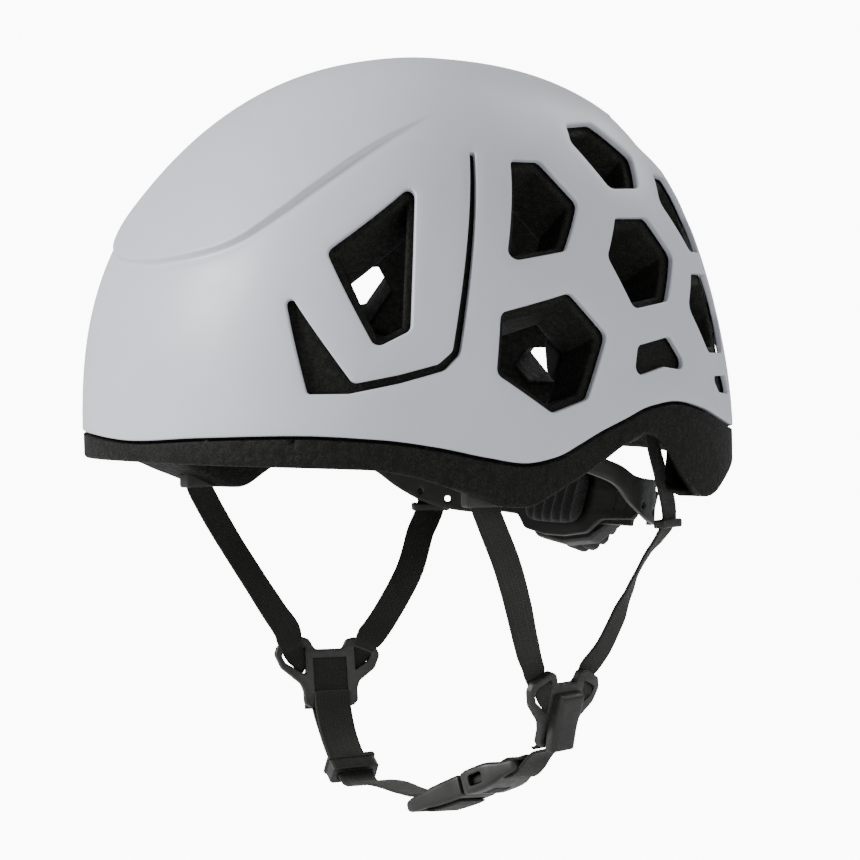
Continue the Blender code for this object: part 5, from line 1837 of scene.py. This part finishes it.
def webbing_material():
    """Twill: picks along the strap, in columns of warp yarns that lean in turn."""
    s = Surface("woven_webbing")
    across, along = s.attribute("su"), s.attribute("sv")
    column_width, pick, lean_share = 1.35, 0.95, 0.55      # mm, mm, picks per column
    column = s.maths('DIVIDE', across, column_width)
    odd = s.maths('MODULO', s.maths('ABSOLUTE', s.maths('FLOOR', column)), 2.0)
    direction = s.maths('SUBTRACT', s.maths('MULTIPLY', odd, 2.0), 1.0)
    lean = s.maths('MULTIPLY', direction,
                   s.maths('MULTIPLY', s.maths('FRACT', column), lean_share))
    phase = s.maths('MULTIPLY', s.maths('ADD', s.maths('DIVIDE', along, pick), lean), 2 * math.pi)
    picks = s.maths('ADD', s.maths('MULTIPLY', s.maths('SINE', phase), 0.5), 0.5)
    columns = s.maths('SINE', s.maths('MULTIPLY', s.maths('FRACT', column), math.pi))
    # the powers flatten the yarns' crowns
    yarn = s.maths('MULTIPLY', s.maths('POWER', picks, 0.6), s.maths('POWER', columns, 0.45))
    fuzz = s.noise(scale=2600.0, detail=3.0, roughness=0.7)
    tone = s.noise(scale=55.0, detail=2.0)
    yarn_dark, yarn_light = (0.0175, 0.0175, 0.0148), (0.0245, 0.0245, 0.0205)
    gap_shade, lint = (0.0055, 0.0055, 0.0046), (0.034, 0.034, 0.029)
    lit = s.mix(s.remap(tone, source=(0.35, 0.65), target=(0, 1)), yarn_dark, yarn_light)
    # painted shade: the gaps between the yarns are darkened, while the yarn crowns keep the lit
    # colour
    colour = s.mix(yarn, gap_shade, lit)
    colour = s.mix(s.remap(fuzz, source=(0.55, 0.75), target=(0.0, 0.35)), colour, lint)
    roughness = s.remap(fuzz, source=(0.3, 0.7), target=(0.66, 0.85))
    weave = s.bump(yarn, strength=0.65, distance=0.00022)
    return s.finish({"Base Color": colour, "Roughness": roughness, "Specular IOR Level": 0.22,
                     "Sheen Weight": 0.10, "Sheen Roughness": 0.45,
                     "Sheen Tint": (0.75, 0.75, 0.70),
                     "Normal": s.bump(fuzz, strength=0.25, distance=0.0001, under=weave)})


def pad_material():
    """Black mesh cloth."""
    s = Surface("padding_cloth")
    period = 1.5                         # mm
    waves = [s.maths('SINE', s.maths('MULTIPLY', s.attribute(name), 2 * math.pi / period))
             for name in ("su", "sv")]
    cloth = s.maths('ADD', s.maths('MULTIPLY', s.maths('MULTIPLY', *waves), 0.5), 0.5)
    fuzz = s.noise(scale=1800.0, detail=4.0, roughness=0.7)
    tone = s.noise(scale=45.0)
    gap_shade, thread, faded = (0.0050, 0.0050, 0.0045), (0.0135, 0.0135, 0.0120), (0.020, 0.020, 0.018)
    # painted shade in the gaps between the threads
    colour = s.mix(cloth, gap_shade, thread)
    colour = s.mix(s.remap(tone, source=(0.4, 0.7), target=(0.0, 0.3)), colour, faded)
    weave = s.bump(cloth, strength=0.6, distance=0.0003)
    return s.finish({"Base Color": colour, "Roughness": 0.92, "Sheen Weight": 0.08,
                     "Sheen Roughness": 0.6,
                     "Normal": s.bump(fuzz, strength=0.4, distance=0.00025, under=weave)})


def steel_material():
    s = Surface("spring_steel")
    dark, light = (0.36, 0.36, 0.37), (0.55, 0.55, 0.56)
    colour = s.mix(s.noise(scale=300.0, detail=4.0), dark, light)
    roughness = s.remap(s.noise(scale=900.0, detail=4.0), source=(0.3, 0.7), target=(0.25, 0.42))
    return s.finish({"Metallic": 1.0, "Base Color": colour, "Roughness": roughness,
                     "Normal": s.bump(s.noise(scale=1500.0), strength=0.2, distance=0.0001)})


def assign_materials():
    materials = {"shell": shell_material(), "foam": foam_material(),
                 "plastic": plastic_material(), "webbing": webbing_material(),
                 "pad": pad_material(), "steel": steel_material()}
    for ob, slot in PIECES:
        ob.data.materials.clear()
        ob.data.materials.append(materials[slot])
    # pieces that keep their CAD meshes; a loaded name may carry a numbered suffix
    carried = {"rack_left": "plastic", "rack_right": "plastic", "pinion": "plastic",
               "click_spring": "steel"}
    for name, kind in carried.items():
        ob = bpy.data.objects.get(name)
        if ob is None:
            ob = next(x for x in bpy.data.objects if x.name.split(".")[0] == name)
        for slot in ob.material_slots:
            slot.material = materials[kind]


assign_materials()

# ------------------------------------------------------------------ stage, in metres
VIEW_ANGLE = math.radians(53)            # the camera stands in front, to the wearer's left
VIEW = Vector((math.sin(VIEW_ANGLE), -math.cos(VIEW_ANGLE), 0))
RIGHT = Vector((math.cos(VIEW_ANGLE), math.sin(VIEW_ANGLE), 0))      # right in the picture
FLOOR_Z = -0.40
SWEEP_FRONT, SWEEP_BACK, SWEEP_RADIUS, SWEEP_TOP = -5.0, 2.4, 1.2, 6.0
WHITE_GLOW = 10.0                # brightness of floor and world as the camera sees them
SOFT_FILL = 0.29                 # world light on the helmet


def sweep_mesh():
    outline = [(SWEEP_FRONT, 0.0)]
    for i in range(9):
        t = 0.5 * math.pi * i / 8
        outline.append((SWEEP_BACK + SWEEP_RADIUS * math.sin(t),
                        SWEEP_RADIUS * (1 - math.cos(t))))
    outline.append((SWEEP_BACK + SWEEP_RADIUS, SWEEP_TOP))
    mesh = bpy.data.meshes.new("studio_sweep")
    bm = bmesh.new()
    rows = [[bm.verts.new((x, y, z + FLOOR_Z)) for y, z in outline]
            for x in (-6.0, -2.0, 2.0, 6.0)]
    for a, b in zip(rows, rows[1:]):
        for i in range(len(a) - 1):
            bm.faces.new((a[i], b[i], b[i + 1], a[i + 1]))
    bm.to_mesh(mesh)
    bm.free()
    mesh.shade_smooth()
    return mesh


def sweep_material():
    """Matt white that also glows for camera rays only."""
    material = bpy.data.materials.new("studio_white")
    material.use_nodes = True
    s = Nodes(material.node_tree)
    shader = s.tree.nodes["Principled BSDF"]
    s.feed(shader.inputs["Base Color"], (0.86, 0.865, 0.87))
    s.feed(shader.inputs["Roughness"], 0.9)
    glow = s.node("ShaderNodeEmission")
    s.feed(glow.inputs["Color"], (1.0, 1.0, 0.995))
    seen = s.node("ShaderNodeLightPath").outputs["Is Camera Ray"]
    s.feed(glow.inputs["Strength"], s.maths('MULTIPLY', seen, WHITE_GLOW))
    total = s.node("ShaderNodeAddShader")
    s.feed(total.inputs[0], shader.outputs[0])
    s.feed(total.inputs[1], glow.outputs[0])
    s.feed(s.tree.nodes["Material Output"].inputs[0], total.outputs[0])
    return material


def build_sweep():
    sweep = bpy.data.objects.new("studio_sweep", sweep_mesh())
    COLLECTION.objects.link(sweep)
    sweep.rotation_euler = (0, 0, VIEW_ANGLE)
    sweep.data.materials.append(sweep_material())


def build_world():
    """Soft fill; the camera itself sees white beyond the sweep's edge."""
    world = bpy.data.worlds.new("studio")
    bpy.context.scene.world = world
    world.use_nodes = True
    w = Nodes(world.node_tree)
    background = w.tree.nodes["Background"]
    w.feed(background.inputs["Color"], (0.93, 0.96, 1.0))
    seen = w.node("ShaderNodeLightPath").outputs["Is Camera Ray"]
    w.feed(background.inputs["Strength"],
           w.maths('MULTIPLY_ADD', seen, WHITE_GLOW, SOFT_FILL))


def area_light(name, location, target, size, power):
    light = bpy.data.lights.new(name, 'AREA')
    light.shape = 'RECTANGLE'
    light.size = light.size_y = size
    light.energy = power
    ob = bpy.data.objects.new(name, light)
    COLLECTION.objects.link(ob)
    ob.location = location
    ob.rotation_euler = (Vector(target) - location).to_track_quat('-Z', 'Y').to_euler()


def build_lights():
    area_light("key", VIEW * 0.62 - RIGHT * 2.0 + Vector((0, 0, 1.05)),
               target=(0, 0, -0.04), size=1.0, power=104)
    area_light("fill", VIEW * 1.6 + RIGHT * 1.6 + Vector((0, 0, 0.6)),
               target=(0, 0, -0.10), size=1.6, power=27)
    area_light("rim", -VIEW * 1.1 + RIGHT * 1.2 + Vector((0, 0, 1.3)),
               target=(0, 0, -0.06), size=1.0, power=15)


def build_camera():
    distance, height = 1.150, -0.084
    slope_right, slope_down = 0.0070892265, 0.0281822944     # of the line of sight
    camera = bpy.data.cameras.new("camera")
    camera.sensor_width = 36.0
    camera.lens = 119.87
    camera.clip_start = 0.05
    camera.clip_end = 40.0
    ob = bpy.data.objects.new("camera", camera)
    COLLECTION.objects.link(ob)
    ob.location = VIEW * distance + Vector((0, 0, height))
    aim = -VIEW + RIGHT * slope_right + Vector((0, 0, -slope_down))
    ob.rotation_euler = aim.to_track_quat('-Z', 'Y').to_euler()
    bpy.context.scene.camera = ob


build_sweep()
build_world()
build_lights()
build_camera()
